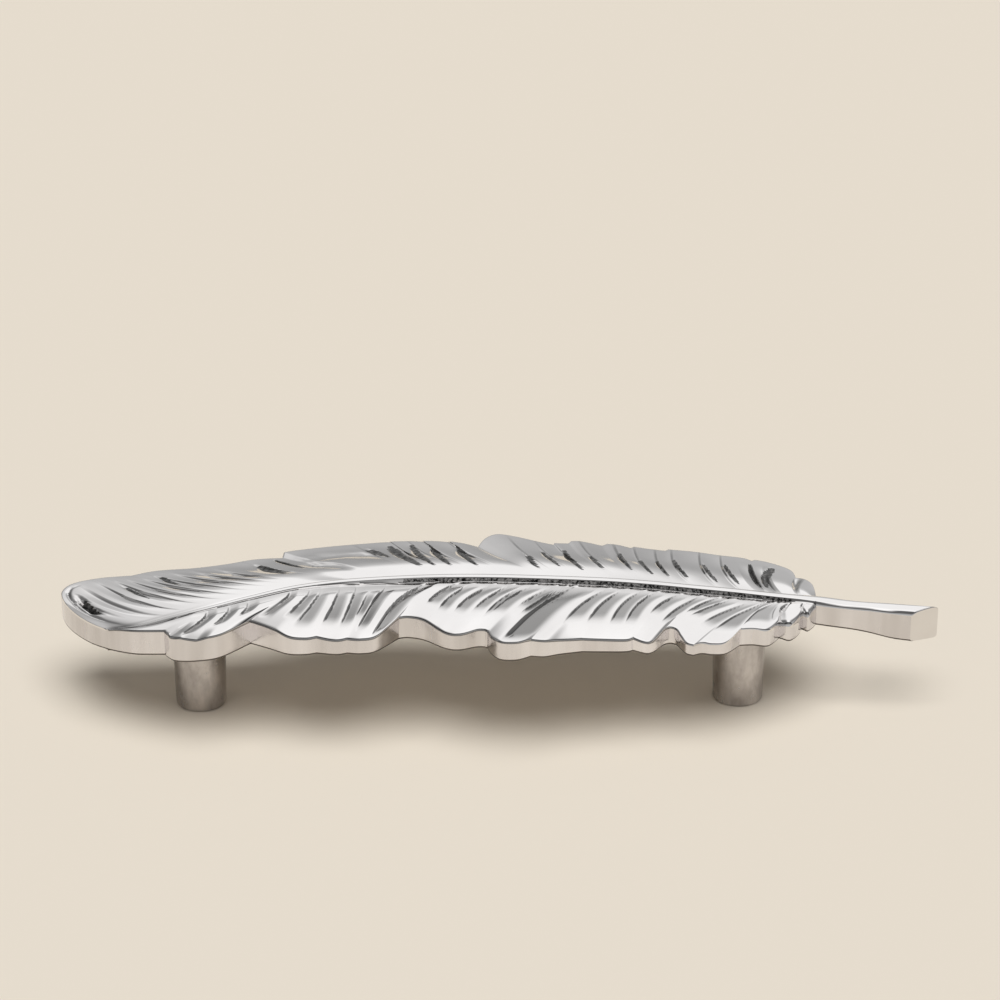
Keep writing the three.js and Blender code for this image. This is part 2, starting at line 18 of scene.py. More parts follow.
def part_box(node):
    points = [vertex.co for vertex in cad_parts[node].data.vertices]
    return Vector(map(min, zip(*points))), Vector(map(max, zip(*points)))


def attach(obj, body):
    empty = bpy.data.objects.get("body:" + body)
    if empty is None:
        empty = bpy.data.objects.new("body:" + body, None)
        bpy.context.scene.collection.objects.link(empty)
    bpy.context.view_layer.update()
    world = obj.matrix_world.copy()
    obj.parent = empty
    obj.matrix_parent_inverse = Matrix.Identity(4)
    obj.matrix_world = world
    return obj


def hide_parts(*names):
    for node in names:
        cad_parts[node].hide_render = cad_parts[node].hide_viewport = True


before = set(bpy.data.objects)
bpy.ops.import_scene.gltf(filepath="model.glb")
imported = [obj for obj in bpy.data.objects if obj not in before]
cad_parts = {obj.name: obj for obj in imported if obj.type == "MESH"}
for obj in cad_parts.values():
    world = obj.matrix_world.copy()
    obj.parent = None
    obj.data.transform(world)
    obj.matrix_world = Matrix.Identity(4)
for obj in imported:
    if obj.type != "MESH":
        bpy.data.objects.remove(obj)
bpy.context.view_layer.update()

NODE = "feather_pull"
MM = 0.001
TINY = 1e-6  # keeps divisors above zero


def through(pairs):
    """A smooth function through (x, value) pairs that doesn't overshoot them."""
    xs, vs = np.array(pairs, float).T
    slope = np.diff(vs) / np.diff(xs)
    before, after = slope[:-1], slope[1:]
    both = np.where(before + after == 0, 1, before + after)
    inner = np.where(before * after <= 0, 0, 2 * before * after / both)
    tangent = np.concatenate([[slope[0]], inner, [slope[-1]]])

    def value(x):
        x = np.clip(np.asarray(x, float), xs[0], xs[-1])
        i = np.clip(np.searchsorted(xs, x, side="right") - 1, 0, len(xs) - 2)
        width = xs[i + 1] - xs[i]
        t = (x - xs[i]) / width
        s = 1 - t
        ends = vs[i] * s * s * (1 + 2 * t) + vs[i + 1] * t * t * (3 - 2 * t)
        return ends + width * t * s * (tangent[i] * s - tangent[i + 1] * t)

    return value


# Posts, in millimetres: they flare out under the slab and reach a little way into it
SCREW_SPACING = 96
POST_FOOT_RADIUS = 4.45
POST_TOP_RADIUS = 4.75
POST_SIDES = 72
POST_OVERLAP = 0.8
FLARE_WIDTH = 0.6
FLARE_HEIGHT = 1.2
FLARE_POWERS = (2.5, 1.2)  # of its curve, for width and height
FOOT_ROUNDING = 0.5
FOOT_LEVEL = 0.01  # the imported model's feet lie below it

# Screw holes, blind, with their thread: it fades in and out, and stops before the hole's end
HOLE_RADIUS = 1.8
HOLE_DEPTH = 9
HOLE_MOUTH_CHAMFER = 0.5
HOLE_TIP_HEIGHT = 1
THREAD_PITCH = 0.7
THREAD_HEIGHT = 0.14
THREAD_STEPS = 6
THREAD_FADE = 0.3
THREAD_STOP = 0.6

# Underside: an arch, highest midway between the posts
UNDERSIDE_AT_MIDDLE = 17.5
UNDERSIDE_AT_POSTS = 15.5

# Thickness of the casting above the arch: (x, thickness)
edge_thickness = through([
    (-73, 4), (-45, 3.7), (-25, 3.3), (-5, 3.5), (6, 3.7), (20, 3), (40, 2.6), (62, 2.8),
])
crest_thickness = through([
    (-63, 4.1), (-58, 4.6), (-48, 5.4), (-38, 6), (-24, 6.5), (0, 6.7),
    (23, 6.4), (44, 5.4), (58, 4.7), (66, 4.6), (78, 5.6), (84, 5.7),
])

# Shaft of the feather: its middle line in plan, half its width, and how far it stands above the vane
shaft_y = through([
    (-63.2, -7.7), (-58.4, -8.5), (-52.2, -7.3), (-45.3, -5.5), (-38.5, -3.4), (-29.8, -0.9),
    (-19.3, 0.2), (-5.2, 0.5), (16, 0.1), (37.2, 0.2), (51.5, 0.7), (61, 1), (66, 0.6),
    (72, -0.3), (78, -1.2), (84, -0.9),
])
shaft_width = through([
    (-63.2, 0.1), (-61, 0.25), (-50, 0.6), (-20, 0.95), (30, 1.05), (58, 1.3), (64, 1.75), (72, 1.5),
    (84, 1.6),
])
shaft_rise = through([(-61, 0.05), (-50, 0.25), (-24, 0.4), (-16, 0.72), (45, 0.72), (60, 0.55)])

# The bare quill beyond the vanes: it ends on a slant with a rounded rim, and its lower far side droops
VANE_END = 61.4
QUILL_START = VANE_END + 0.02
QUILL_END = 83.6
QUILL_END_SLANT = 5.5
QUILL_SLANT_LENGTH = 14
QUILL_END_ROUNDING = 0.35
QUILL_END_DROP = 0.7
QUILL_CAP_SHARE = 0.001

# Section of the shaft: (share of its half width, drop below the crest) and (x, share of that drop). The
# vanes meet it in a small fillet.
section_drop = through([(0, 0), (0.35, 0.03), (0.6, 0.09), (0.72, 0.24), (0.86, 0.52), (1, 0.8)])
section_share = through([(58, 1), (66, 0.65)])
SHAFT_REACH = 1.001  # points at the half width still count as the shaft
SHAFT_FILLET = 0.06

# Outlines of the two vanes in plan, from the tip of the shaft to the quill: lobes that meet at corners
NEAR_OUTLINE = [
    [(-63.2, -7.7), (-60.8, -9.4), (-57.7, -11), (-52.9, -12.1)],
    [(-52.6, -12.9), (-50.8, -15.1), (-47, -15.9), (-43, -15.1), (-38.1, -10.5)],
    [(-38.1, -10.5), (-35, -12.9), (-31.5, -15.7), (-28.5, -16.3), (-26.5, -15.9)],
    [(-26.5, -15.9), (-23.1, -16.9), (-21.2, -16.5)],
    [(-21.2, -16.5), (-18.8, -17), (-16.2, -16.2), (-12.3, -11.4)],
    [(-12.3, -11.4), (-10.7, -11.2), (-8, -12.4), (-4.5, -15.7), (-2, -16.5), (1, -15.4), (2.4, -15.4)],
    [(2.9, -15.8), (3.6, -18.4), (5.2, -20.4), (7.9, -20.5), (10.3, -19)],
    [(10.3, -19), (12.6, -19.2), (15.1, -18.2), (19.1, -17)],
    [(19.1, -17), (22.4, -16.9), (26.5, -16.6), (28, -15.9)],
    [(28, -15.9), (30.5, -17), (32.1, -15.4), (33.4, -13.4), (34.5, -12.5), (35.6, -12.9),
     (36.3, -14.6), (37.1, -16.3), (38.3, -16.9)],
    [(38.3, -16.9), (39.9, -16), (41.7, -16.2), (44.1, -15.5), (46.9, -11.8)],
    [(46.9, -11.8), (49.1, -11.3), (51.5, -11.4), (52.9, -10), (54.2, -7.6)],
    [(54.2, -7.6), (55.9, -8.4), (57.6, -6.2), (58.7, -3.2)],
    [(58.7, -3.2), (59.6, -3.9), (60.6, -2.6), (61.4, -0.9)],
]
FAR_OUTLINE = [
    [(-63.2, -7.7), (-66.5, -4.5), (-69.8, 0.2), (-72.2, 5.3), (-73.2, 10.2), (-71.6, 13.3),
     (-67, 14.4), (-61, 14.1)],
    [(-61, 14.1), (-56.5, 15.2), (-50, 15), (-44.2, 15.7), (-38.7, 17.2), (-33.9, 17.3)],
    [(-33.7, 19.8), (-31, 20.6), (-25, 21.6), (-16.5, 22.3), (-14.2, 22.3)],
    [(-14.4, 22.6), (-10.6, 22.4), (-8.2, 21.9)],
    [(-8.4, 22.4), (-5.4, 21.9), (-3.4, 21.3)],
    [(-3.6, 21.8), (-1.2, 20.8), (1.7, 18.8)],
    [(1.7, 18.8), (3, 22.4), (5.2, 24.4), (8.5, 23.6), (12.4, 22), (15.6, 20.9)],
    [(15.8, 21.7), (18.4, 22)],
    [(18.9, 23.1), (20.8, 23.3), (24.6, 21.8)],
    [(25.6, 22.8), (27.6, 22.6), (29.9, 21.5)],
    [(30.5, 22.2), (33.3, 21.6), (36.2, 21.2)],
    [(36.8, 21.9), (41.5, 21.5), (46, 20.5)],
    [(46, 20.5), (50.3, 19.9), (51.9, 18.8)],
    [(52.4, 19.4), (54.8, 18.7), (57.9, 16.5), (59, 14.6), (59.2, 12)],
    [(59.2, 12), (60.9, 11.5), (62, 9), (62, 3)],
]

# Barbs that guide the rest: (x where it leaves the shaft, x and y where it meets the outline)
NEAR_GUIDES = [
    (-63.2, -63.2, -7.7), (-56.3, -60.8, -9.4), (-47.3, -52.9, -12.1), (-44.6, -51, -15),
    (-38.7, -45, -15.8), (-30, -38.1, -10.5), (-25.4, -33.5, -14.1), (-20.3, -26.5, -15.9),
    (-16.4, -22.5, -16.9), (-9.2, -17.4, -16.9), (-7.4, -15.5, -15.4), (-5.6, -12.3, -11.4),
    (-1.2, -8, -12.4), (4.6, -4.7, -15.5), (12.3, 2.4, -15.4), (16.7, 4.4, -19.8),
    (21.4, 9.5, -19.6), (27.5, 19.1, -17), (33.5, 26, -16.7), (39.8, 29.5, -16.6),
    (41, 30.5, -17), (41.8, 33.4, -13.4), (46.4, 35, -12.5), (51.1, 38.3, -16.9),
    (52.8, 43.6, -15.8), (54.2, 50, -11.3), (56, 54.2, -7.6), (58.3, 57.6, -6.2),
    (60, 59.6, -3.9), (61.4, 61.4, -0.9),
]
FAR_GUIDES = [
    (-63.2, -63.2, -7.7), (-61.6, -66.5, -4.5), (-59.9, -69.7, 0), (-57.6, -72.2, 5.2),
    (-53.6, -73.2, 10.2), (-47.1, -69.4, 14.1), (-41.9, -66.3, 14.4), (-36.5, -62.8, 14.2),
    (-28.8, -55.9, 15.2), (-23.3, -47.8, 15.2), (-17.3, -40, 16.9), (-11, -33.9, 17.3),
    (-6.8, -28.2, 21.1), (0.3, -14.6, 22.2), (5.8, -7.8, 21.9), (10, -4.4, 21.7),
    (15.5, 1.7, 18.8), (19.2, 7.5, 24), (25.4, 15.6, 20.9), (32.7, 25.6, 22.8),
    (37.5, 33.3, 21.6), (44.6, 41.5, 21.5), (52.7, 50.3, 19.9), (57.1, 56.3, 17.8),
    (59, 59.2, 12), (60.2, 61.6, 10.4), (61.4, 62, 3),
]

# How a barb leaves the shaft and meets the outline: (x, angle from the shaft in degrees), reach of its
# first handle, turn at its end in degrees and reach of its last handle. Reaches are shares of its span.
NEAR_BEND = ([(-63, 60), (61, 60)], 0.38, 2, 0.42)
FAR_BEND = ([(-63.2, 60), (-60, 34), (-50, 12), (61, 65)], 0.34, -14, 0.36)

# Where the slope of each vane starts and stops growing, as shares of the barb
NEAR_SLOPE = (0.15, 1)
FAR_SLOPE = (0.31, 0.54)

# How much higher the edge stands where the outline comes nearer to the shaft: (reach of the vane, lift)
NEAR_LIFT = [(0, 0.6), (3, 1), (7, 1.05), (12, 0.85), (15.2, 0.1), (17, -0.3), (20, 0)]
FAR_LIFT = [(0, 0.9), (6, 0.8), (14, 0.5), (18, 0.32)]

# Grooves: (x where its barb leaves the shaft, start and end along the barb, from 0 at the shaft to 1 at
# the outline, width of the flank on the side of the tip, width of the flank on the quill's, depth). The
# narrower flank is the steep one. A groove that ends beyond 1 runs off the edge at its full depth.
NEAR_GROOVES = [
    (-45.5, 0.49, 1.05, 0.34, 1.9, 0.32), (-43.9, 0.06, 0.95, 0.34, 2, 0.37),
    (-40.9, 0.72, 1.3, 2.6, 2.6, 0.45), (-40.1, 0.04, 0.75, 0.34, 2, 0.37),
    (-36.8, 0.04, 0.6, 0.34, 2.2, 0.37), (-29.2, 0.06, 0.9, 0.6, 1.6, 0.4),
    (-25.7, 0.06, 0.8, 0.34, 2, 0.38), (-23.6, 0.06, 0.88, 0.34, 2, 0.38),
    (-20.3, 0.06, 0.85, 0.34, 2.2, 0.44), (-17.4, 0.04, 0.85, 0.34, 2.2, 0.42),
    (-15.1, 0.14, 0.75, 0.34, 1.7, 0.34), (-13.3, 0.06, 0.9, 0.34, 2.3, 0.46),
    (-9, 0.02, 0.98, 0.3, 3.2, 0.6), (-2.9, 0.02, 0.74, 0.3, 2.8, 0.39),
    (0.1, 0.07, 0.8, 0.3, 2.4, 0.33), (3.7, 0.04, 0.75, 0.3, 2.7, 0.37),
    (7, 0.02, 0.7, 0.3, 2.4, 0.33), (9.9, 0.12, 0.78, 0.3, 1.3, 0.24),
    (10.9, 0.04, 0.76, 0.3, 2.6, 0.35), (14.4, 0.02, 0.6, 0.3, 2.3, 0.32),
    (16.2, 0.02, 0.66, 0.3, 1.5, 0.42), (17.7, 0, 1, 0.7, 5, 0.65),
    (24, 0.04, 0.75, 0.3, 2.4, 0.32), (26.9, 0.07, 0.78, 0.3, 2.5, 0.35),
    (30.1, 0.04, 0.8, 0.3, 2.3, 0.3), (32.5, 0.04, 0.78, 0.3, 2.4, 0.32),
    (36.6, 0.04, 0.62, 0.3, 2.5, 0.32), (40.4, 0.07, 0.72, 0.3, 2.3, 0.3),
    (43.6, 0.04, 0.65, 0.3, 2.3, 0.27), (46.2, 0.07, 0.72, 0.3, 2.1, 0.27),
    (49.5, 0.07, 0.75, 0.3, 1.9, 0.27), (51.8, 0.07, 0.8, 0.3, 1.5, 0.22),
    (53.6, 0.12, 0.85, 0.3, 1.4, 0.19), (54.9, 0.22, 0.85, 0.3, 1.3, 0.19),
    (56, 0.15, 1.1, 0.4, 0.6, 0.5), (59.2, 0.3, 1.1, 0.3, 0.5, 0.4),
]
FAR_GROOVES = [
    (-53.2, 0.3, 0.85, 1.08, 0.35, 0.22), (-49.7, 0.1, 0.95, 1.8, 0.35, 0.29),
    (-46, 0.15, 0.95, 1.8, 0.35, 0.29), (-41.7, 0.2, 0.95, 1.8, 0.35, 0.3),
    (-38.6, 0.15, 0.95, 1.68, 0.35, 0.26), (-35.2, 0.18, 0.95, 1.92, 0.35, 0.29),
    (-32.5, 0.2, 0.95, 1.8, 0.35, 0.27), (-29.9, 0.2, 0.95, 1.92, 0.35, 0.29),
    (-27, 0.25, 0.95, 1.8, 0.35, 0.29), (-24.1, 0.3, 0.95, 1.8, 0.35, 0.3),
    (-18.8, 0.4, 0.95, 3.12, 0.35, 0.3), (-3.5, 0.45, 0.95, 3, 0.22, 0.26),
    (0.6, 0.38, 0.98, 3, 0.22, 0.3), (3.1, 0.38, 1, 3, 0.22, 0.32),
    (5.5, 0.38, 1, 3, 0.22, 0.32), (10.3, 0.38, 1, 3.6, 0.22, 0.32),
    (18.8, 0.28, 0.9, 3.4, 0.22, 0.2), (22.5, 0.34, 0.95, 3.6, 0.22, 0.24),
    (25.6, 0.34, 1, 3.2, 0.22, 0.27), (29.1, 0.3, 1, 3.4, 0.22, 0.24),
    (33.2, 0.3, 1, 3.6, 0.22, 0.24), (35.5, 0.26, 0.98, 3, 0.22, 0.24),
    (38.1, 0.22, 0.98, 3, 0.22, 0.26), (40.8, 0.18, 0.98, 3, 0.22, 0.27),
    (45.3, 0.15, 1, 3.6, 0.22, 0.27), (49, 0.12, 1, 3.2, 0.22, 0.29),
    (53.7, 0.1, 0.8, 1.8, 0.5, 0.5), (55.7, 0.06, 0.8, 1.4, 0.7, 0.55), (59.2, 0.2, 1, 0.4, 0.4, 0.4),
]

# How far before its start a groove begins to deepen, and over what lengths it deepens and ends, all in
# shares of the barb
NEAR_ENDS = (0, 0.3, 0.16)
FAR_ENDS = (0.04, 0.42, 0.4)

# Flanks start at a share of their width and open over a share of the barb. On the far vane only the
# steep ones do, and they widen again towards the outline.
NEAR_FIRST_WIDTH = 0.8
FAR_FIRST_WIDTH = 0.3
OPENING_LENGTH = 0.35
FAR_SPREAD = 2.5
SPREAD_START = 0.55
SPREAD_LENGTH = 0.45

# Near the shaft the near grooves turn along it: (x, by how much), and over what share of the barb
near_hook = through([(-16, -2.2), (-9, 3)])
HOOK_SHARE = 0.65

# Slivers cut deeper than the grooves, their near-black colour painted shade: x of the barb at their
# inner and outer end, inner and outer end along the barb, half their width, depth
FAR_SLIVERS = [
    (-43.7, -42.1, 0.5, 0.78, 0.5, 0.2), (-34, -32.1, 0.64, 0.87, 0.45, 0.2),
    (-20.7, -18.4, 0.48, 0.84, 0.75, 0.3), (-15, -13.6, 0.62, 0.93, 0.5, 0.3),
    (-2.7, -3, 0.62, 0.84, 0.4, 0.25), (-1.6, -0.4, 0.36, 0.88, 0.61, 0.35),
    (0.5, 3, 0.36, 0.9, 0.48, 0.35), (3, 6.2, 0.34, 0.9, 0.48, 0.35),
    (7.5, 11.2, 0.34, 0.9, 0.48, 0.35), (17.4, 19, 0.28, 0.56, 0.2, 0.2),
    (21.2, 22.1, 0.34, 0.72, 0.25, 0.25), (24.4, 26.1, 0.32, 0.8, 0.34, 0.3),
    (28.3, 29, 0.32, 0.62, 0.22, 0.2), (33, 33.4, 0.36, 0.76, 0.24, 0.25),
    (35.7, 35.7, 0.3, 0.64, 0.24, 0.25), (38.3, 38.1, 0.28, 0.64, 0.24, 0.25),
    (41.6, 41, 0.27, 0.7, 0.28, 0.3), (46.4, 45.8, 0.26, 0.66, 0.28, 0.3),
    (50.1, 49.7, 0.27, 0.72, 0.28, 0.3), (53.9, 53.8, 0.28, 0.86, 0.36, 0.35),
    (54.9, 56.8, 0.26, 0.84, 0.45, 0.2),
]

# Valley beside the shaft on the near vane: its depth, and its width as a share of the barb
valley_depth = through([(-50, 0.3), (-42, 0.55), (-14, 0.6), (-4, 0.25), (60, 0.15)])
VALLEY_SHARE = 0.34

# Ribbon between the shaft and the valley: (x, height), then its width and the width of its outer flank
ribbon_height = through([(-54, 0), (-44, 0.55), (-16, 0.6), (-9, 0.15), (0, 0.1), (60, 0)])
RIBBON_WIDTH = 0.8
RIBBON_FLANK = 1.4

# Ditch beside the shaft on the far vane: its depth, and its width in millimetres
DITCH_DEPTH = 0.14
DITCH_WIDTH = 0.4

# Gouges that cross the barbs: their line in plan, the widths of their left and right flanks, and depth.
# The first follows the edge of the tip and leaves a rim, the second is a pocket inside that rim. Each
# rises and fades over a share of its line, and is narrower there.
GOUGES = [
    ([(-69.9, 12), (-71.6, 10.9), (-71.9, 8.6), (-70.9, 5.4), (-68.7, 0.9), (-65.8, -3),
      (-63.4, -5.4)], 0.7, 0.35, 0.3),
    ([(-69.6, 7.4), (-68.1, 3.4), (-66.3, 0.2), (-64.8, -2.4)], 0.35, 1.5, 1),
    ([(-31.5, 13.8), (-28.2, 14.4), (-26, 15), (-23.2, 15.3), (-20.4, 15.3), (-17.8, 14.3),
      (-15.2, 11.5)], 0.6, 3.2, 0.26),
    ([(-31.5, 12.3), (-28.6, 11), (-25.8, 10.4), (-23.5, 9.2), (-22, 7.8), (-20.7, 6.2)],
     0.7, 2.6, 0.2),
]
POCKET = 1
GOUGE_RISE = 0.3
GOUGE_FADE = 0.25
GOUGE_FIRST_WIDTH = 0.3

# Roundings of the casting's edges, smaller on the bare quill. ROW_LIMIT is the most of its row that a
# rounding or the finer band beside it takes.
TOP_ROUNDING = 0.35
near_rounding = through([(50, 0.35), (54, 0.9), (62, 1.4)])
BOTTOM_ROUNDING = 0.4
QUILL_ROUNDING_SHARE = 0.3
ROW_LIMIT = 0.45

# Rows of the skin: steps along the outline and the shaft, least gaps between two corners and after one,
# and the number of rows on the bare quill
OUTLINE_STEP = 0.31
SHAFT_STEP = 0.19
CORNER_GAP = 0.02
ROW_GAP = 0.004
QUILL_ROWS = 60

# Points of a row: across half the shaft, as shares of its half width, beside it in millimetres, along
# the barb with more in a band at its end, round the edge, down the wall, round its foot and underneath
SHARES_ACROSS_SHAFT = [0.35, 0.6, 0.72, 0.86, 1.0]
FILLET_STEPS = [0.08, 0.18, 0.3, 0.5, 0.8, 0.95, 1.1, 1.25, 1.4]
BARB_POINTS = 26
OUTER_BAND = 3.6
OUTER_POINTS = 11
ROUND_STEPS = 4
WALL_POINTS = 3
RIM_ANGLES = (0, 30, 60, 90)
BOTTOM_POINTS = 6

# Samples that curves are measured with: of a barb, its fall, each point of a lobe and of a gouge, and
# an outline. NUDGE keeps distances growing from one to the next.
SAMPLES = 90
FALL_SAMPLES = 201
LOBE_SAMPLES = 40
GOUGE_SAMPLES = 30
OUTLINE_SAMPLES = 6000
NUDGE = 1e-9

# Points closer than this, in metres, become one, and edges over this angle are sharp
MERGE_DISTANCE = 2e-6
SHARP_ANGLE = 38

# Metals, by their places in the mesh: two colours and two roughnesses that a noise mixes, its scale and
# stretch, and how far from the noise's middle only one of the two is left
METALS = [
    ("polished_metal", ((0.76, 0.74, 0.73), (0.83, 0.815, 0.81)), (0.04, 0.09), 90, (1, 1, 1), 0.3),
    ("satin_metal", ((0.36, 0.34, 0.335), (0.73, 0.70, 0.695)), (0.16, 0.3), 260, (1, 1, 0.5), 0.2),
    # recess: a dark colour that is painted shade, with random speckle
    ("recess_metal", ((0.012, 0.012, 0.012), (0.5, 0.485, 0.475)), (0.5, 0.2), 2100, (1, 1, 1), 0.09),
    # rim: a dark colour that paints the shade under the wall's lower edge as a line
    ("rim_metal", ((0.10, 0.088, 0.078), (0.2, 0.18, 0.16)), (0.4, 0.6), 300, (1, 1, 1), 0.3),
    # wall: its vertical light and dark streaks are painted reflections
    ("wall_metal", ((0.65, 0.63, 0.635), (0.91, 0.9, 0.93)), (0.16, 0.3), 110, (1, 1, 0.1), 0.16),
    # sliver: a near-black colour that is painted shade in the deep cuts
    ("sliver_metal", ((0.008, 0.008, 0.008), (0.22, 0.215, 0.21)), (0.5, 0.3), 1100, (1, 1, 1), 0.16),
]
POLISHED, SATIN, RECESS, RIM, WALL, SLIVER = range(6)
ROUGHNESS_SCALE = 1.7

# Where the polished metal gives way: painted dark, speckled shade on a strip of the shaft's near flank,
# between these x and points of a row; painted near-black shade round the slivers and in the pocket from
# this share of its depth; and satin metal on the posts, up to just below the underside
RECESS_SPAN = (-11.3, 57.5)
RECESS_COLUMNS = (3, 5)
SLIVER_MARGIN = 0.16
POCKET_FLOOR = 0.45
POST_MARGIN = 0.05
POST_STOP = 0.03

# Painted shade from 0 to 1, stored at the points of the skin, mixes this dark colour and roughness into
# the polished metal: it stands in for the shade and darker reflections in grooves, valleys and where
# the vanes fall away
PAINTED_SHADE_ATTRIBUTE = "painted_shade_tone"
PAINTED_SHADE_COLOR = (0.26, 0.255, 0.25)
PAINTED_SHADE_ROUGHNESS = 0.16

# Painted shade of the near vane, (x, tone), in its grooves and valley: it fades at a groove's rims,
# over a share of its flanks, and at the ribbon beside the shaft
near_groove_tone = through([
    (-46, 0.6), (-14, 0.75), (-6, 0.85), (14, 0.85), (17, 1), (22, 0.85), (53, 0.85), (55.5, 0.2),
    (61, 0),
])
valley_tone = through([(-52, 0), (-44, 0.85), (-12, 1), (0, 0.6), (50, 0.5), (60, 0)])
GROOVE_TONE_FADE = 0.45
RIBBON_TONE_FADE = 0.5

# Painted shade of the far vane, (x, tone): a painted darker reflection where it falls, between two
# shares of the barb, and painted dark strokes along the grooves' steep flanks, whose middle is a share
# of the flank and whose lengths are of the barb
far_fall_tone = through([(-38, 0), (-24, 0.2), (-4, 0.35), (2, 0.1), (60, 0.1)])
FAR_FALL_SPAN = (0.35, 0.95)
FAR_FALL_FADE = 0.15
stroke_tone = through([(-54, 0.3), (-24, 0.35), (-10, 0.6), (0, 1), (60, 1)])
STROKE_MIDDLE = 0.6
STROKE_MARGIN = 0.12
STROKE_SOFTNESS = 0.2
STROKE_RISE = 0.2
STROKE_OVERRUN = 0.1
STROKE_FADE = 0.3

# Painted shade beside the shaft's tip, (x, tone), and a painted dark line on the near edge, one tone
# for each step of its rounding, up to an x where they have faded
wedge_tone = through([(-63, 0), (-59.5, 0.65), (-53, 0.6), (-44, 0)])
WEDGE_WIDTH = 1.1
EDGE_TONE = (0.1, 0.5, 1, 1)
EDGE_TONE_END = 53
EDGE_TONE_FADE = 4

# What the metal mirrors: the brightness of a wide screen over and behind the part, by how high a
# direction points over the far horizon, in degrees (90 is overhead, 180 the near horizon), dimmed by
# how far it points to the tip's side, -1, or the quill's, 1. ROOM is the least that shows, by height.
SCREEN = [
    (-4, 0.45), (5, 0.57), (11, 0.69), (16.5, 0.84), (21.5, 1.35), (55, 1.35), (90, 1.6), (96, 0.9),
    (102, 0.24), (110, 0.17), (140, 0.17), (155, 0.3), (180, 0.5),
]
SCREEN_SPAN = (-20, 200)
SIDES = [
    (-1, 0.42), (-0.86, 0.36), (-0.74, 0.16), (-0.5, 0.18), (-0.38, 0.36), (-0.29, 0.6), (-0.2, 0.9),
    (-0.14, 1), (0.34, 1), (0.5, 0.55), (0.62, 0.3), (0.78, 0.18), (0.88, 0.36), (1, 0.42),
]
SIDES_SPAN = (-1, 1)
ROOM = [(118, 0), (134, 0.3), (148, 0.6), (180, 0.75)]

# What the world gives to all that isn't mirrored, and the lamp
FILL = 0.26
LAMP_AT = (0.02, -0.2, 0.82)
LAMP_SPREAD = 56
LAMP_POWER = 2.58

FLOOR_COLOR = (0.783, 0.712, 0.610)
FLOOR_SIZE = 6  # metres

# Camera: measured against the photograph in the plan frame, millimetres and degrees
CAMERA_AT = (-4.870, -480.352, 244.467)
CAMERA_DOWN = 23.186
CAMERA_ASIDE = 1.224
CAMERA_LENS = 108
CAMERA_SENSOR = 36
CAMERA_CLIP = 0.01  # metres


def underside(x):
    fall = UNDERSIDE_AT_MIDDLE - UNDERSIDE_AT_POSTS
    return UNDERSIDE_AT_MIDDLE - fall * (np.asarray(x) / (SCREW_SPACING / 2)) ** 2


def eased(t):
    t = np.clip(t, 0, 1)
    return t * t * (3 - 2 * t)


def shaft_slope(x):
    return shaft_y(x + 0.5) - shaft_y(x - 0.5)


def lengths(vectors):
    return np.linalg.norm(vectors, axis=-1, keepdims=True)


def turned(vectors, degrees):
    """Plan vectors turned by an angle each."""
    a = np.radians(degrees)
    c, s = np.cos(a), np.sin(a)
    x, y = vectors[..., 0], vectors[..., 1]
    return np.stack([x * c - y * s, x * s + y * c], -1)


def lobe_curve(points, count):
    """A smooth plan curve through the points of a lobe (Catmull-Rom)."""
    p = np.array(points, float)
    p = np.concatenate([p[:1], p, p[-1:]])
    u = np.linspace(0, len(points) - 1, count)
    i = np.minimum(u.astype(int), len(points) - 2)
    w = (u - i)[:, None]
    a, b, c, d = p[i], p[i + 1], p[i + 2], p[i + 3]
    leave, arrive = (c - a) / 2, (d - b) / 2
    cubed, squared = 2 * b - 2 * c + leave + arrive, 3 * c - 3 * b - 2 * leave - arrive
    return cubed * w**3 + squared * w**2 + leave * w + b


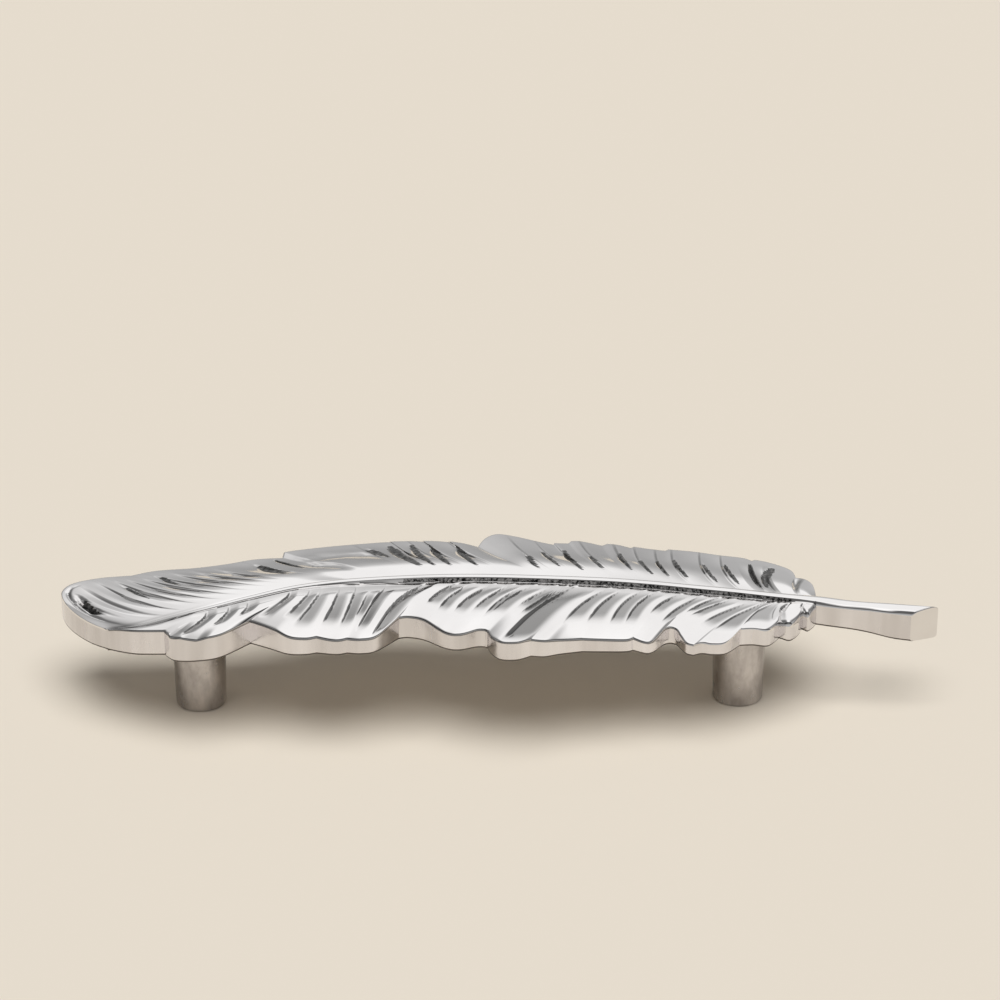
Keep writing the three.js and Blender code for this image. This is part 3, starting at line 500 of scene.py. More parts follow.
class Vane:
    """One vane: side is -1 for the near one and +1 for the far one.

    A place on it is given by root_x, the x where its barb leaves the shaft, and its share of the barb.
    """

    def __init__(self, side, lobes, guides, bend, slope, lift, grooves, slivers, ends, first_width):
        self.side, self.grooves, self.slivers, self.first_width = side, grooves, slivers, first_width
        self.lead, self.rise, self.fade = ends
        self.shares = np.linspace(0, 1, FALL_SAMPLES)
        steepness = np.cumsum(eased((self.shares - slope[0]) / (slope[1] - slope[0])))
        self.falls = (steepness - steepness[0]) / (steepness[-1] - steepness[0])
        self.lift = through(lift)
        angles, self.leave_reach, self.end_turn, self.end_reach = bend
        self.leave_angle = through(angles)
        curves = [lobe_curve(lobe, LOBE_SAMPLES * len(lobe)) for lobe in lobes]
        self.line = np.concatenate(curves)
        self.distance = np.append(0, np.cumsum(lengths(np.diff(self.line, axis=0))))
        ends = np.cumsum([len(curve) for curve in curves])
        self.corners = self.distance[np.concatenate([[0], ends[:-1], ends - 1])]
        self.root_of = through([(self.nearest(x, y), root) for root, x, y in guides])
        self.fine = np.linspace(0, self.distance[-1], OUTLINE_SAMPLES)
        self.fine_root = np.maximum.accumulate(self.root_of(self.fine))

    def nearest(self, x, y):
        """How far along the outline it comes nearest to a point."""
        return self.distance[np.argmin(np.hypot(self.line[:, 0] - x, self.line[:, 1] - y))]

    def distance_of(self, root_x):
        """How far along the outline the barb that leaves the shaft here meets it."""
        return np.interp(root_x, self.fine_root, self.fine)

    def barbs(self, root_x):
        """Points along each barb, from the shaft to the outline: rows, samples, xy."""
        root = np.stack([root_x, shaft_y(root_x)], -1)
        distance = self.distance_of(root_x)
        end = np.stack([np.interp(distance, self.distance, self.line[:, k]) for k in (0, 1)], -1)
        along = np.stack([-np.ones_like(root_x), -shaft_slope(root_x)], -1)
        along /= lengths(along)
        span = end - root
        reach = lengths(span)
        leave = turned(along, -self.side * self.leave_angle(root_x))
        arrive = turned(span / np.maximum(reach, TINY), self.side * self.end_turn)
        first = root + leave * self.leave_reach * reach
        last = end - arrive * self.end_reach * reach
        t = np.linspace(0, 1, SAMPLES)[None, :, None]
        s = 1 - t
        a, b, c, d = (q[:, None, :] for q in (root, first, last, end))
        return a * s**3 + 3 * b * t * s**2 + 3 * c * t**2 * s + d * t**3

    def strength(self, share, start, end):
        """How much of its depth a groove has here, from 0 to 1."""
        strength = eased((share - start + self.lead) / self.rise)
        return strength * eased((end - share) / self.fade) if end <= 1 else strength

    def away(self, root_x, share, x):
        """How far a place lies from a groove, along the shaft: below 0 on the side of the tip."""
        if self.side > 0:
            return root_x - x
        return root_x - x - near_hook(x) * np.clip(1 - share / HOOK_SHARE, 0, 1) ** 2

    def carving(self, root_x, share):
        """How far the grooves lie below the plain camber."""
        depth = np.zeros(np.broadcast(root_x, share).shape)
        spread = 1 + FAR_SPREAD * eased((share - SPREAD_START) / SPREAD_LENGTH)
        for x, start, end, tip_side, quill_side, deep in self.grooves:
            opening = eased((share - start) / OPENING_LENGTH)
            steep = gentle = self.first_width + (1 - self.first_width) * opening
            if self.side > 0:
                steep, gentle = steep * spread, 1
            left = tip_side * (steep if tip_side < quill_side else gentle)
            right = quill_side * (steep if quill_side < tip_side else gentle)
            away = self.away(root_x, share, x)
            across = np.where(away < 0, -away / left, away / right)
            on_gentle = (away > 0) == (quill_side > tip_side)
            flank = np.where(on_gentle, np.clip(1 - across, 0, 1), 1 - eased(across))
            depth = np.maximum(depth, deep * self.strength(share, start, end) * flank)
        return depth

    def near_tone(self, root_x, share, beside):
        """How much painted shade the near vane has here, from 0 to 1."""
        painted_shade = valley_tone(root_x) * (1 - eased(share / VALLEY_SHARE))
        for x, start, end, tip_side, quill_side, _ in self.grooves:
            away = self.away(root_x, share, x)
            across = np.where(away < 0, -away / tip_side, away / quill_side)
            tone = near_groove_tone(x) * self.strength(share, start, end)
            painted_shade = np.maximum(painted_shade, tone * eased((1 - across) / GROOVE_TONE_FADE))
        return painted_shade * eased((beside - RIBBON_WIDTH) / RIBBON_TONE_FADE)

    def far_tone(self, root_x, share):
        """How much painted shade the far vane has here, from 0 to 1."""
        first, last = FAR_FALL_SPAN
        fall = eased((share - first) / FAR_FALL_FADE) * eased((last - share) / FAR_FALL_FADE)
        painted_shade = fall * far_fall_tone(root_x)
        for x, start, end, _, quill_side, _ in self.grooves:
            strength = eased((share - start + self.lead) / STROKE_RISE)
            strength = strength * eased((end + STROKE_OVERRUN - share) / STROKE_FADE)
            middle = quill_side * STROKE_MIDDLE
            inside = middle + STROKE_MARGIN - np.abs(root_x - x - middle)
            line = eased(inside / STROKE_SOFTNESS)
            painted_shade = np.maximum(painted_shade, stroke_tone(x) * strength * line)
        return painted_shade

    def sliver(self, root_x, share):
        """Whether a sliver or the painted shade round it reaches here, and the sliver's depth."""
        depth = np.zeros(np.broadcast(root_x, share).shape)
        reached = depth > 0
        for inner, outer, start, end, half, deep in self.slivers:
            t = np.clip((share - start) / (end - start), 0, 1)
            swell = np.sqrt(np.sin(math.pi * t)) + TINY
            away = np.abs(root_x - inner - (outer - inner) * t)
            depth = np.maximum(depth, np.clip(1 - away / (half * swell), 0, 1) * swell * deep)
            reached |= (away < half * swell + SLIVER_MARGIN) & (t > 0) & (t < 1)
        return reached, depth

    def height(self, root_x, share, x, reach):
        """Top of the vane above the feet."""
        root = crest_thickness(root_x) - shaft_rise(root_x)
        edge = np.minimum(edge_thickness(x) + self.lift(reach), root)
        fall = np.interp(share, self.shares, self.falls)
        top = underside(x) + edge + (root - edge) * (1 - fall)
        if self.side < 0:
            top = top - valley_depth(root_x) * (1 - eased(share / VALLEY_SHARE))
        return top - self.carving(root_x, share) - self.sliver(root_x, share)[1]


class Gouge:
    """A groove along a line of its own in plan."""

    def __init__(self, points, left, right, depth):
        self.line = lobe_curve(points, GOUGE_SAMPLES * len(points))
        self.left, self.right, self.depth = left, right, depth

    def carving(self, x, y):
        spots = np.stack([x.ravel(), y.ravel()], -1)
        depth = np.zeros(len(spots))
        reach = max(self.left, self.right)
        inside = np.all((spots > self.line.min(0) - reach) & (spots < self.line.max(0) + reach), axis=1)
        near = spots[inside]
        if not len(near):
            return depth.reshape(x.shape)
        gap = near[:, None] - self.line[None]
        nearest = np.argmin(np.hypot(gap[..., 0], gap[..., 1]), axis=1)
        along = np.gradient(self.line, axis=0)[nearest]
        along /= lengths(along)
        away = gap[np.arange(len(near)), nearest]
        side = along[:, 0] * away[:, 1] - along[:, 1] * away[:, 0]
        distance = np.hypot(away[:, 0], away[:, 1])
        place = nearest / (len(self.line) - 1)
        strength = eased(place / GOUGE_RISE) * eased((1 - place) / GOUGE_FADE)
        width = np.where(side > 0, self.left, self.right)
        width = width * (GOUGE_FIRST_WIDTH + (1 - GOUGE_FIRST_WIDTH) * strength)
        depth[inside] = self.depth * strength * (1 - eased(distance / width))
        return depth.reshape(x.shape)


vanes = near_vane, far_vane = (
    Vane(-1, NEAR_OUTLINE, NEAR_GUIDES, NEAR_BEND, NEAR_SLOPE, NEAR_LIFT,
         NEAR_GROOVES, [], NEAR_ENDS, NEAR_FIRST_WIDTH),
    Vane(1, FAR_OUTLINE, FAR_GUIDES, FAR_BEND, FAR_SLOPE, FAR_LIFT,
         FAR_GROOVES, FAR_SLIVERS, FAR_ENDS, FAR_FIRST_WIDTH),
)
gouges = [Gouge(*gouge) for gouge in GOUGES]


def row_places():
    """Places along the shaft where rows leave it: close enough for the shaft and both outlines."""
    corners = sorted({round(float(v), 3) for vane in vanes for v in vane.root_of(vane.corners)})
    places = [corners[0]]
    for corner in corners[1:] + [VANE_END]:
        start = places[-1]
        if corner - start < CORNER_GAP:
            continue
        spans = [(vane.distance_of(start), vane.distance_of(corner)) for vane in vanes]
        cost = [(corner - start) / SHAFT_STEP] + [(b - a) / OUTLINE_STEP for a, b in spans]
        count = max(1, math.ceil(max(cost)))
        # even in outline distance where an outline runs ahead of the shaft
        leader = int(np.argmax(cost))
        if leader == 0:
            inner = np.linspace(start, corner, count + 1)[1:]
        else:
            inner = vanes[leader - 1].root_of(np.linspace(*spans[leader - 1], count + 1)[1:])
        places += [float(v) for v in inner if v - start > ROW_GAP]
    return np.array(places)


def new_object(name, data):
    made = bpy.data.objects.new(name, data)
    bpy.context.scene.collection.objects.link(made)
    return made


def node_tree(owner):
    owner.use_nodes = True
    owner.node_tree.nodes.clear()
    return owner.node_tree


def feed(tree, socket, value):
    """Sets a socket to a value, or links it to another socket."""
    if isinstance(value, bpy.types.NodeSocket):
        tree.links.new(value, socket)
    else:
        socket.default_value = value


def add_node(tree, kind, **settings):
    """A new node with its inputs and properties set by their names."""
    node = tree.nodes.new(kind)
    for name, value in settings.items():
        if name in node.inputs:
            feed(tree, node.inputs[name], value)
        else:
            setattr(node, name, value)
    return node


def math_node(tree, operation, *values):
    node = add_node(tree, "ShaderNodeMath", operation=operation)
    for socket, value in zip(node.inputs, values):
        feed(tree, socket, value)
    return node.outputs[0]


def mix_node(tree, kind, share, first, second):
    """A mix of two colours ("RGBA") or two numbers ("FLOAT")."""
    mix = add_node(tree, "ShaderNodeMix", data_type=kind)
    sockets = {socket.name: socket for socket in mix.inputs if socket.enabled}
    for name, value in (("Factor", share), ("A", first), ("B", second)):
        feed(tree, sockets[name], value)
    return next(socket for socket in mix.outputs if socket.enabled)


def noise_node(tree, low, high, scale, stretch, sharp):
    """A noise between two values, in the piece's own coordinates."""
    place = add_node(tree, "ShaderNodeTexCoord").outputs["Object"]
    place = add_node(tree, "ShaderNodeMapping", Vector=place, Scale=stretch).outputs[0]
    noise = add_node(tree, "ShaderNodeTexNoise", Vector=place, Scale=scale, Detail=4.0, Roughness=0.6)
    ends = {"From Min": 0.5 - sharp, "From Max": 0.5 + sharp, "To Min": low, "To Max": high}
    return add_node(tree, "ShaderNodeMapRange", Value=noise.outputs["Fac"], **ends).outputs[0]


def surface_output(tree, shader, kind="ShaderNodeOutputMaterial"):
    add_node(tree, kind, Surface=shader.outputs[0])


def cast_metal(name, colors, roughness, scale, stretch, sharp, takes_painted_shade):
    """A metal whose colour and roughness vary between two values each; where it takes painted shade,
    the stored tone mixes in a dark colour that stands in for shade.
    """
    material = bpy.data.materials.new(name)
    tree = node_tree(material)
    patches = noise_node(tree, 0, 1, scale, stretch, sharp)
    color = mix_node(tree, "RGBA", patches, *((*color, 1) for color in colors))
    rough = noise_node(tree, *roughness, scale * ROUGHNESS_SCALE, stretch, sharp)
    if takes_painted_shade:
        # the stored painted shade darkens the colour here
        tone = add_node(tree, "ShaderNodeAttribute", attribute_name=PAINTED_SHADE_ATTRIBUTE).outputs["Fac"]
        color = mix_node(tree, "RGBA", tone, color, (*PAINTED_SHADE_COLOR, 1))
        rough = mix_node(tree, "FLOAT", tone, rough, PAINTED_SHADE_ROUGHNESS)
    look = {"Base Color": color, "Roughness": rough, "Metallic": 1.0}
    surface_output(tree, add_node(tree, "ShaderNodeBsdfPrincipled", **look))
    return material


metals = [cast_metal(*metal, place == POLISHED) for place, metal in enumerate(METALS)]


def smooth_max(a, b, reach):
    """The larger of two heights, with a small fillet where they cross."""
    h = np.clip(0.5 + 0.5 * (a - b) / reach, 0, 1)
    return b + (a - b) * h + reach * h * (1 - h)


def sampled(wanted, known, values):
    """For each row, the values at the wanted places between the known ones."""
    return np.stack([np.interp(*row) for row in zip(wanted, known, values)])


def even_steps(start, stop, count):
    """Even steps from start to stop in each row, without the start."""
    return start[:, None] + (stop - start)[:, None] * (np.arange(1, count + 1) / count)


def plan_rows(vane, places, on_vane):
    """One side of every row in plan, in fine samples, and how far they lie from the middle line."""
    slope = shaft_slope(places)
    level = 1 / np.hypot(1, slope)
    # beyond the vane a row is the bar alone, from its middle line to its side
    across = np.stack([-slope * level, level], -1) * vane.side
    root = np.stack([places, shaft_y(places)], -1)
    t = np.linspace(0, 1, SAMPLES)[None, :, None]
    bar = root[:, None, :] + across[:, None, :] * shaft_width(places)[:, None, None] * t
    plan = np.where(on_vane[:, None, None], vane.barbs(places), bar)
    offset = vane.side * (plan[..., 1] - shaft_y(plan[..., 0])) * level[:, None]
    # they have to grow along the row
    return plan, np.maximum.accumulate(offset, axis=1) + NUDGE * np.arange(SAMPLES)


def top_columns(arc, offset, width, rounding):
    """How far along each row its points on the top lie, and how far its rounding lowers them."""
    length = arc[:, -1]
    last = length - rounding
    shaft = [share * width for share in SHARES_ACROSS_SHAFT] + [width + step for step in FILLET_STEPS]
    inner = np.minimum(sampled(np.array(shaft).T, offset, arc), last[:, None])
    first = inner[:, -1]
    band = last - np.minimum(OUTER_BAND, ROW_LIMIT * (last - first))
    phi = np.radians(90) * np.arange(1, ROUND_STEPS + 1) / ROUND_STEPS
    arcs = np.hstack([
        inner,
        even_steps(first, band, BARB_POINTS - OUTER_POINTS),
        even_steps(band, last, OUTER_POINTS),
        length[:, None] - rounding[:, None] * (1 - np.sin(phi)),
    ])
    down = np.zeros(arcs.shape)
    down[:, -ROUND_STEPS:] = rounding[:, None] * (1 - np.cos(phi))
    return arcs, down


def wall_rows(side, edge, length):
    """Points down the wall from the edge of each row and round its lower edge."""
    ends, top, foot = edge[:, :2], edge[:, 2:], underside(edge[:, :1])
    down = np.linspace(0, 1, WALL_POINTS + 2)[1:-1]
    wall = top + (foot + BOTTOM_ROUNDING - top) * down
    walls = np.concatenate([np.repeat(ends[:, None], WALL_POINTS, axis=1), wall[..., None]], -1)
    run = np.gradient(ends, axis=0)
    inward = np.stack([-run[:, 1], run[:, 0]], -1) * -side
    inward = inward / np.maximum(lengths(inward), TINY)
    rim = np.minimum(BOTTOM_ROUNDING, ROW_LIMIT * length)
    lower = []
    for angle in np.radians(RIM_ANGLES):
        shift = (rim * (1 - math.cos(angle)))[:, None]
        height = foot + BOTTOM_ROUNDING * (1 - math.sin(angle))
        lower.append(np.hstack([ends + inward * shift, height]))
    return np.hstack([walls, np.stack(lower, axis=1)])


def side_rows(vane, places):
    """One side of every row, from beside the middle line to the foot of the wall.

    Gives the points, and for each of them the material of the face after it and the painted shade tone.
    """
    on_vane = places <= VANE_END
    width = shaft_width(places)
    plan, offset = plan_rows(vane, places, on_vane)
    steps = lengths(np.diff(plan, axis=1))[..., 0]
    arc = np.hstack([np.zeros((len(places), 1)), np.cumsum(steps, axis=1)])
    length = arc[:, -1]
    size = near_rounding(plan[:, -1, 0]) if vane.side < 0 else TOP_ROUNDING
    share_kept = np.where(on_vane, 1, QUILL_ROUNDING_SHARE)
    rounding = np.minimum(size, ROW_LIMIT * length) * share_kept
    arcs, down = top_columns(arc, offset, width, rounding)
    x, y, off = (sampled(arcs, arc, values) for values in (plan[..., 0], plan[..., 1], offset))

    # as columns, to meet the points of the rows
    root_x, width, on_vane = places[:, None], width[:, None], on_vane[:, None]
    share = arcs / np.maximum(length[:, None], TINY)
    top = surface(vane, root_x, share, x, y, off, width, on_vane, offset[:, -1:]) - down
    upper = np.stack([x, y, top], -1)
    points = np.hstack([upper, wall_rows(vane.side, upper[:, -1], length)])

    on_top = x.shape[1]
    pocket = gouges[POCKET]
    # the near-black painted shade goes on the slivers, a margin round them and the pocket's floor
    rough = vane.sliver(root_x, share)[0] | (pocket.carving(x, y) > POCKET_FLOOR * pocket.depth)
    # the lower rim of the wall gets the painted dark shade line
    kinds = np.full(points.shape[:2], RIM)
    kinds[:, :on_top] = np.where(rough, SLIVER, POLISHED)
    # walls get the metal with painted reflection streaks
    kinds[:, on_top:on_top + WALL_POINTS + 1] = WALL

    beside = np.abs(off) - width
    near = vane.side < 0
    painted_shade = vane.near_tone(root_x, share, beside) if near else vane.far_tone(root_x, share)
    # painted shade beside the shaft's tip
    wedge = wedge_tone(x) * (1 - eased(beside / WEDGE_WIDTH))
    tones = np.zeros(points.shape[:2])
    tones[:, :on_top] = np.maximum(painted_shade * on_vane, wedge)
    # a painted dark line along the near edge's rounding
    if near:
        edge = eased((EDGE_TONE_END - root_x) / EDGE_TONE_FADE) * on_vane
        columns = slice(on_top - ROUND_STEPS, on_top)
        tones[:, columns] = np.maximum(tones[:, columns], edge * EDGE_TONE)
    return points, kinds, tones


def surface(vane, root_x, share, x, y, offset, width, on_vane, reach):
    """Height of the top: the vane, with the shaft standing out of it."""
    drop = section_drop(np.abs(offset) / width) * section_share(x)
    bar = underside(x) + crest_thickness(x) - drop
    leaf = vane.height(root_x, share, x, reach) - sum(gouge.carving(x, y) for gouge in gouges)
    beside = np.abs(offset) - width
    if vane.side > 0:
        leaf = leaf - DITCH_DEPTH * (1 - eased(beside / DITCH_WIDTH))
    else:
        leaf = leaf + ribbon_height(x) * (1 - eased((beside - RIBBON_WIDTH) / RIBBON_FLANK))
    beyond_shaft = np.abs(offset) > width * SHAFT_REACH
    both = np.where(beyond_shaft, leaf, smooth_max(bar, leaf, SHAFT_FILLET))
    return np.where(on_vane, both, bar)


def feather_rings():
    """The rows' places and their points, and as side_rows the material and the painted shade tone of
    each.
    """
    quill = np.linspace(QUILL_START, QUILL_END - QUILL_END_SLANT / 2, QUILL_ROWS)
    places = np.concatenate([row_places(), quill])
    near, near_kinds, near_tones = side_rows(near_vane, places)
    far, far_kinds, far_tones = side_rows(far_vane, places)
    middle = np.stack([places, shaft_y(places), underside(places) + crest_thickness(places)], -1)
    t = np.linspace(0, 1, BOTTOM_POINTS + 2)[1:-1, None]
    bottom = near[:, -1:] * (1 - t) + far[:, -1:] * t
    bottom[..., 2] = underside(bottom[..., 0])
    rings = np.hstack([middle[:, None], near, bottom, far[:, ::-1]])
    under = np.full((len(places), BOTTOM_POINTS + 1), POLISHED)
    kinds = np.hstack([near_kinds, under, far_kinds[:, ::-1]])
    crest, plain = np.zeros((len(places), 1)), np.zeros((len(places), BOTTOM_POINTS))
    tones = np.hstack([crest, near_tones, plain, far_tones[:, ::-1]])
    return places, rings, kinds, tones


def mesh_object(name, points, faces, slots=()):
    mesh = bpy.data.meshes.new(name)
    mesh.from_pydata([tuple(p) for p in points], [], faces)
    mesh.update()
    for material in metals:
        mesh.materials.append(material)
    if slots:
        mesh.polygons.foreach_set("material_index", slots)
    return new_object(name, mesh)


def ring_faces(count, around):
    """Quads between rings of points, each ring closed on itself."""
    faces = []
    for i in range(0, (count - 1) * around, around):
        for j in range(around):
            k = (j + 1) % around
            faces.append((i + j, i + k, i + around + k, i + around + j))
    return faces


def tidy(piece):
    """Merges coinciding points, drops empty faces and turns the faces out."""
    bm = bmesh.new()
    bm.from_mesh(piece.data)
    bmesh.ops.remove_doubles(bm, verts=bm.verts, dist=MERGE_DISTANCE)
    bmesh.ops.dissolve_degenerate(bm, edges=bm.edges, dist=MERGE_DISTANCE / 4)
    bmesh.ops.recalc_face_normals(bm, faces=bm.faces)
    if bm.calc_volume(signed=True) < 0:
        bmesh.ops.reverse_faces(bm, faces=bm.faces)
    bm.to_mesh(piece.data)
    bm.free()


def shear_quill_end(places, rings):
    """Gives the quill its slant: its near side ends before its far side."""
    slant = QUILL_END_SLANT / 2
    start = QUILL_END - slant - QUILL_SLANT_LENGTH
    share = eased((places - start) / QUILL_SLANT_LENGTH)[:, None]
    side = (rings[..., 1] - shaft_y(places)[:, None]) / shaft_width(places)[:, None]
    rings[..., 0] += share * side * slant
    thickness = crest_thickness(places)
    down = (underside(places) + thickness)[:, None] - rings[..., 2]
    below = np.clip(down / thickness[:, None], 0, 1)
    rings[..., 2] -= share * below * np.clip(side + 1, 0, 2) / 2 * QUILL_END_DROP


def end_cap_rings(last):
    """Rings that round the rim of the quill's end and close it but for a tiny face."""
    middle = last.mean(axis=0)
    size = np.ptp(last[:, 2]) / 2
    caps = []
    for angle in np.radians([30, 60, 90]):
        inset = QUILL_END_ROUNDING * (1 - math.cos(angle)) / size
        ring = last + (middle - last) * inset
        ring[:, 0] += QUILL_END_ROUNDING * (math.sin(angle) - 1)
        caps.append(ring)
    return caps + [middle + (last - middle) * QUILL_CAP_SHARE]


def make_feather():
    """Points, faces, the material of each face and the painted shade tone of each point."""
    places, rings, kinds, tones = feather_rings()
    shear_quill_end(places, rings)
    caps = end_cap_rings(rings[-1])
    rings[-1, :, 0] -= QUILL_END_ROUNDING
    rings = np.concatenate([rings, np.stack(caps)])
    count, around = rings.shape[:2]
    slots = np.full((count - 1, around), POLISHED)
    slots[:len(kinds)] = kinds
    # a strip of the shaft's near flank gets the dark speckled painted shade
    start, stop = np.searchsorted(places, RECESS_SPAN)
    slots[start:stop, slice(*RECESS_COLUMNS)] = RECESS
    faces = ring_faces(count, around) + [tuple(range((count - 1) * around, count * around))]
    all_tones = np.zeros((count, around))
    all_tones[:len(tones)] = tones
    return rings.reshape(-1, 3), faces, [*slots.ravel().tolist(), POLISHED], all_tones.ravel()


def thread_radius(angle, z):
    """Radius of the hole's wall with its thread: a ridge that climbs one pitch a turn."""
    turn = (z / THREAD_PITCH - angle / (2 * math.pi)) % 1
    ridge = 1 - abs(2 * turn - 1)
    rise = max(0, (z - HOLE_MOUTH_CHAMFER) / THREAD_FADE)
    fall = max(0, (HOLE_DEPTH - THREAD_STOP - z) / THREAD_FADE)
    return HOLE_RADIUS + THREAD_HEIGHT * (1 - 2 * ridge) * min(1, rise, fall)


def post_profile():
    """A post from the tip of its hole, down the hole, round the foot and up: (radius, height)."""
    top, threaded = UNDERSIDE_AT_POSTS, HOLE_DEPTH - HOLE_MOUTH_CHAMFER
    steps = int(threaded / (THREAD_PITCH / THREAD_STEPS))
    hole = [(0, HOLE_DEPTH + HOLE_TIP_HEIGHT)]
    hole += [(HOLE_RADIUS, HOLE_DEPTH - threaded * i / steps) for i in range(steps)]
    hole += [(HOLE_RADIUS, HOLE_MOUTH_CHAMFER), (HOLE_RADIUS + HOLE_MOUTH_CHAMFER, 0)]
    foot = []
    for angle in np.radians([0, 22.5, 45, 67.5, 90]):
        radius = POST_FOOT_RADIUS - FOOT_ROUNDING * (1 - math.sin(angle))
        foot.append((radius, FOOT_ROUNDING * (1 - math.cos(angle))))
    flare = [(POST_TOP_RADIUS, top - FLARE_HEIGHT)]
    out, up = FLARE_POWERS
    for t in (0.25, 0.5, 0.75, 1.0):
        flare.append((POST_TOP_RADIUS + FLARE_WIDTH * t**out, top - FLARE_HEIGHT * (1 - t) ** up))
    top += POST_OVERLAP
    return hole + foot + flare + [(POST_TOP_RADIUS + FLARE_WIDTH, top), (0, top)]


def make_post(x):
    profile = post_profile()
    points = []
    for radius, z in profile:
        for k in range(POST_SIDES):
            angle = 2 * math.pi * k / POST_SIDES
            r = thread_radius(angle, z) if radius == HOLE_RADIUS else radius
            points.append((x + r * math.cos(angle), r * math.sin(angle), z))
    return np.array(points), ring_faces(len(profile), POST_SIDES)


def foot_middle():
    """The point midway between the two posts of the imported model, in millimetres."""
    spots = np.array([v.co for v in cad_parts[NODE].data.vertices]) / MM
    feet = spots[spots[:, 2] < FOOT_LEVEL]
    sides = [feet[feet[:, 0] < 0], feet[feet[:, 0] > 0]]
    return sum((side.min(0) + side.max(0)) / 2 for side in sides) / 2


def placed(points):
    """Plan millimetres to the frame's metres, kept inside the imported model's box."""
    low, high = (np.array(v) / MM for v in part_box(NODE))
    return np.clip(points + foot_middle(), low, high) * MM


def join(piece, other):
    """Makes one solid of piece and other, in piece."""
    modifier = piece.modifiers.new("join", "BOOLEAN")
    modifier.operation = "UNION"
    modifier.solver = "MANIFOLD"
    modifier.object = other
    evaluated = piece.evaluated_get(bpy.context.evaluated_depsgraph_get())
    mesh = bpy.data.meshes.new_from_object(evaluated)
    piece.modifiers.clear()
    piece.data = mesh
    bpy.data.objects.remove(other)


def store_tones(piece, points, tones):
    """Gives each point of the piece the painted shade tone of the skin's nearest point."""
    skin = KDTree(len(points))
    for i, point in enumerate(points):
        skin.insert(point, i)
    skin.balance()
    painted_shade = piece.data.attributes.new(PAINTED_SHADE_ATTRIBUTE, "FLOAT", "POINT")
    painted_shade.data.foreach_set("value", [tones[skin.find(v.co)[1]] for v in piece.data.vertices])


def set_satin(piece):
    """Gives the posts their satin metal."""
    middle = foot_middle() * MM
    reach = (POST_TOP_RADIUS + FLARE_WIDTH + POST_MARGIN) * MM
    posts = [middle[0] + side * SCREW_SPACING / 2 * MM for side in (-1, 1)]
    for polygon in piece.data.polygons:
        x, y, z = polygon.center
        near_post = min(math.hypot(x - post, y - middle[1]) for post in posts) < reach
        if near_post and z < (underside((x - middle[0]) / MM) - POST_STOP) * MM:
            polygon.material_index = SATIN


def make_pull():
    plan, faces, slots, tones = make_feather()
    skin = placed(plan)
    pull = mesh_object("feather_pull_polished", skin, faces, slots)
    tidy(pull)
    for side in (-1, 1):
        points, faces = make_post(side * SCREW_SPACING / 2)
        post = mesh_object("post", placed(points), faces)
        tidy(post)
        join(pull, post)
    for polygon in pull.data.polygons:
        polygon.use_smooth = True
    pull.data.set_sharp_from_angle(angle=math.radians(SHARP_ANGLE))
    store_tones(pull, skin, tones)
    set_satin(pull)
    return pull


def ramp_node(tree, value, stops, low, high):
    """A colour ramp through (value, grey) stops between low and high."""
    share = math_node(tree, "DIVIDE", math_node(tree, "SUBTRACT", value, low), high - low)
    ramp = add_node(tree, "ShaderNodeValToRGB", Fac=share)
    elements = ramp.color_ramp.elements
    while len(elements) > 1:
        elements.remove(elements[-1])
    for i, (at, grey) in enumerate(stops):
        place = (at - low) / (high - low)
        element = elements[0] if i == 0 else elements.new(place)
        element.position = place
        element.color = (grey, grey, grey, 1)
    return ramp.outputs[0]


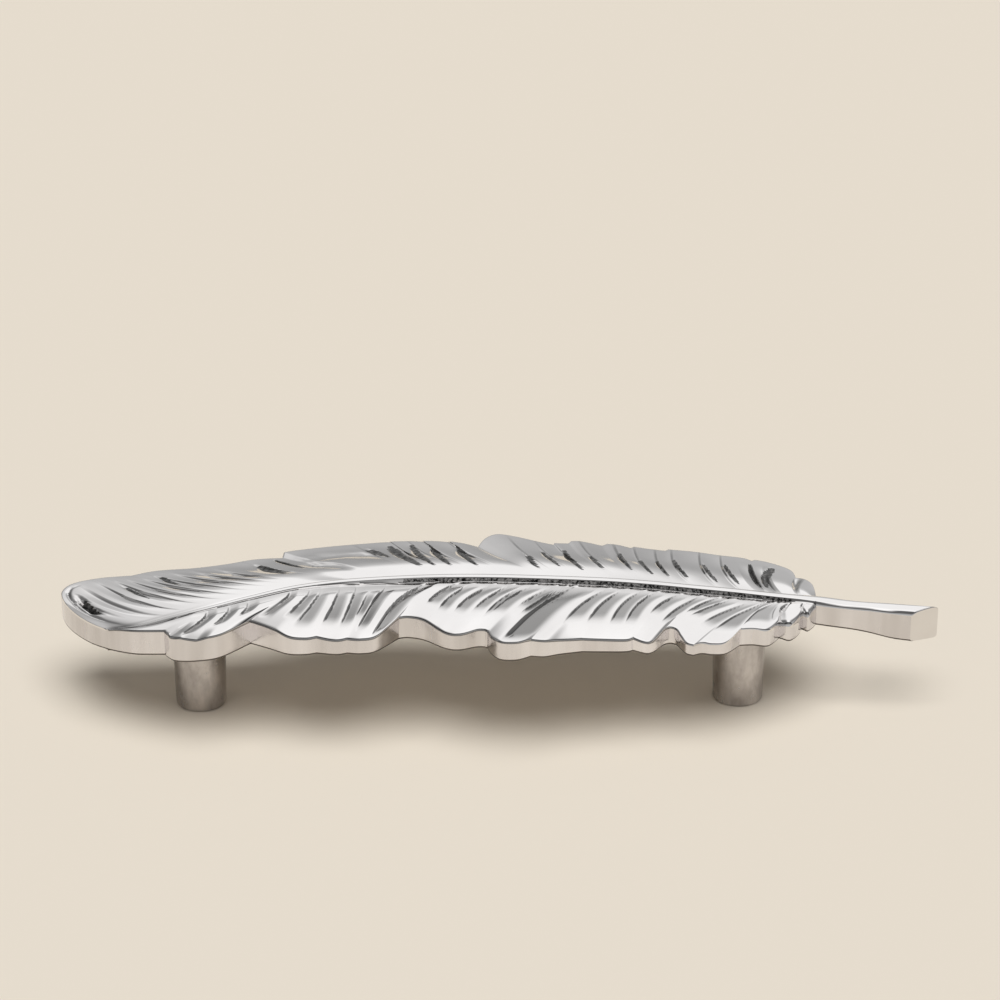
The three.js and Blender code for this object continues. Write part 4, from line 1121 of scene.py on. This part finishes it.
def make_world():
    world = bpy.data.worlds.new("studio")
    bpy.context.scene.world = world
    tree = node_tree(world)
    direction = add_node(tree, "ShaderNodeTexCoord").outputs["Generated"]
    x, y, z = add_node(tree, "ShaderNodeSeparateXYZ", Vector=direction).outputs
    degrees = math_node(tree, "MULTIPLY", math_node(tree, "ARCTAN2", z, y), 180 / math.pi)
    # its ramp holds shares of its peak
    peak = max(value for _, value in SCREEN)
    screen = ramp_node(tree, degrees, [(at, value / peak) for at, value in SCREEN], *SCREEN_SPAN)
    screen = math_node(tree, "MULTIPLY", screen, peak)
    seen = math_node(tree, "MULTIPLY", screen, ramp_node(tree, x, SIDES, *SIDES_SPAN))
    seen = math_node(tree, "MAXIMUM", seen, ramp_node(tree, degrees, ROOM, *SCREEN_SPAN))
    # only reflections see it: the floor gets the even fill
    mirrored = add_node(tree, "ShaderNodeLightPath").outputs["Is Glossy Ray"]
    extra = math_node(tree, "MULTIPLY", mirrored, math_node(tree, "SUBTRACT", seen, FILL))
    strength = math_node(tree, "ADD", extra, FILL)
    background = add_node(tree, "ShaderNodeBackground", Strength=strength)
    surface_output(tree, background, "ShaderNodeOutputWorld")


def make_lamp():
    """Soft light from above the part and a little in front of it, kept out of the reflections."""
    data = bpy.data.lights.new("soft_box", "SUN")
    data.angle = math.radians(LAMP_SPREAD)
    data.energy = LAMP_POWER
    lamp = new_object("soft_box", data)
    lamp.location = LAMP_AT
    lamp.rotation_euler = (-Vector(LAMP_AT)).to_track_quat("-Z", "Y").to_euler()
    lamp.visible_glossy = False


def make_floor():
    bpy.ops.mesh.primitive_plane_add(size=1, location=(0, 0, 0))
    floor = bpy.context.object
    floor.name = "floor"
    floor.scale = (FLOOR_SIZE, FLOOR_SIZE, 1)
    material = bpy.data.materials.new("floor")
    tree = node_tree(material)
    surface_output(tree, add_node(tree, "ShaderNodeBsdfDiffuse", Color=(*FLOOR_COLOR, 1)))
    floor.data.materials.append(material)


def make_camera():
    data = bpy.data.cameras.new("camera")
    data.lens = CAMERA_LENS
    data.sensor_width = CAMERA_SENSOR
    data.clip_start = CAMERA_CLIP
    camera = new_object("camera", data)
    camera.location = Vector((np.array(CAMERA_AT) + foot_middle()) * MM)
    down, aside = math.radians(CAMERA_DOWN), math.radians(CAMERA_ASIDE)
    ahead = math.cos(down)
    look = Vector((math.sin(aside) * ahead, math.cos(aside) * ahead, -math.sin(down)))
    camera.rotation_euler = look.to_track_quat("-Z", "Y").to_euler()
    bpy.context.scene.camera = camera


pull = make_pull()
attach(pull, "root")
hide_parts(NODE)

make_world()
make_lamp()
make_floor()
make_camera()
bpy.context.scene.view_settings.view_transform = "Standard"
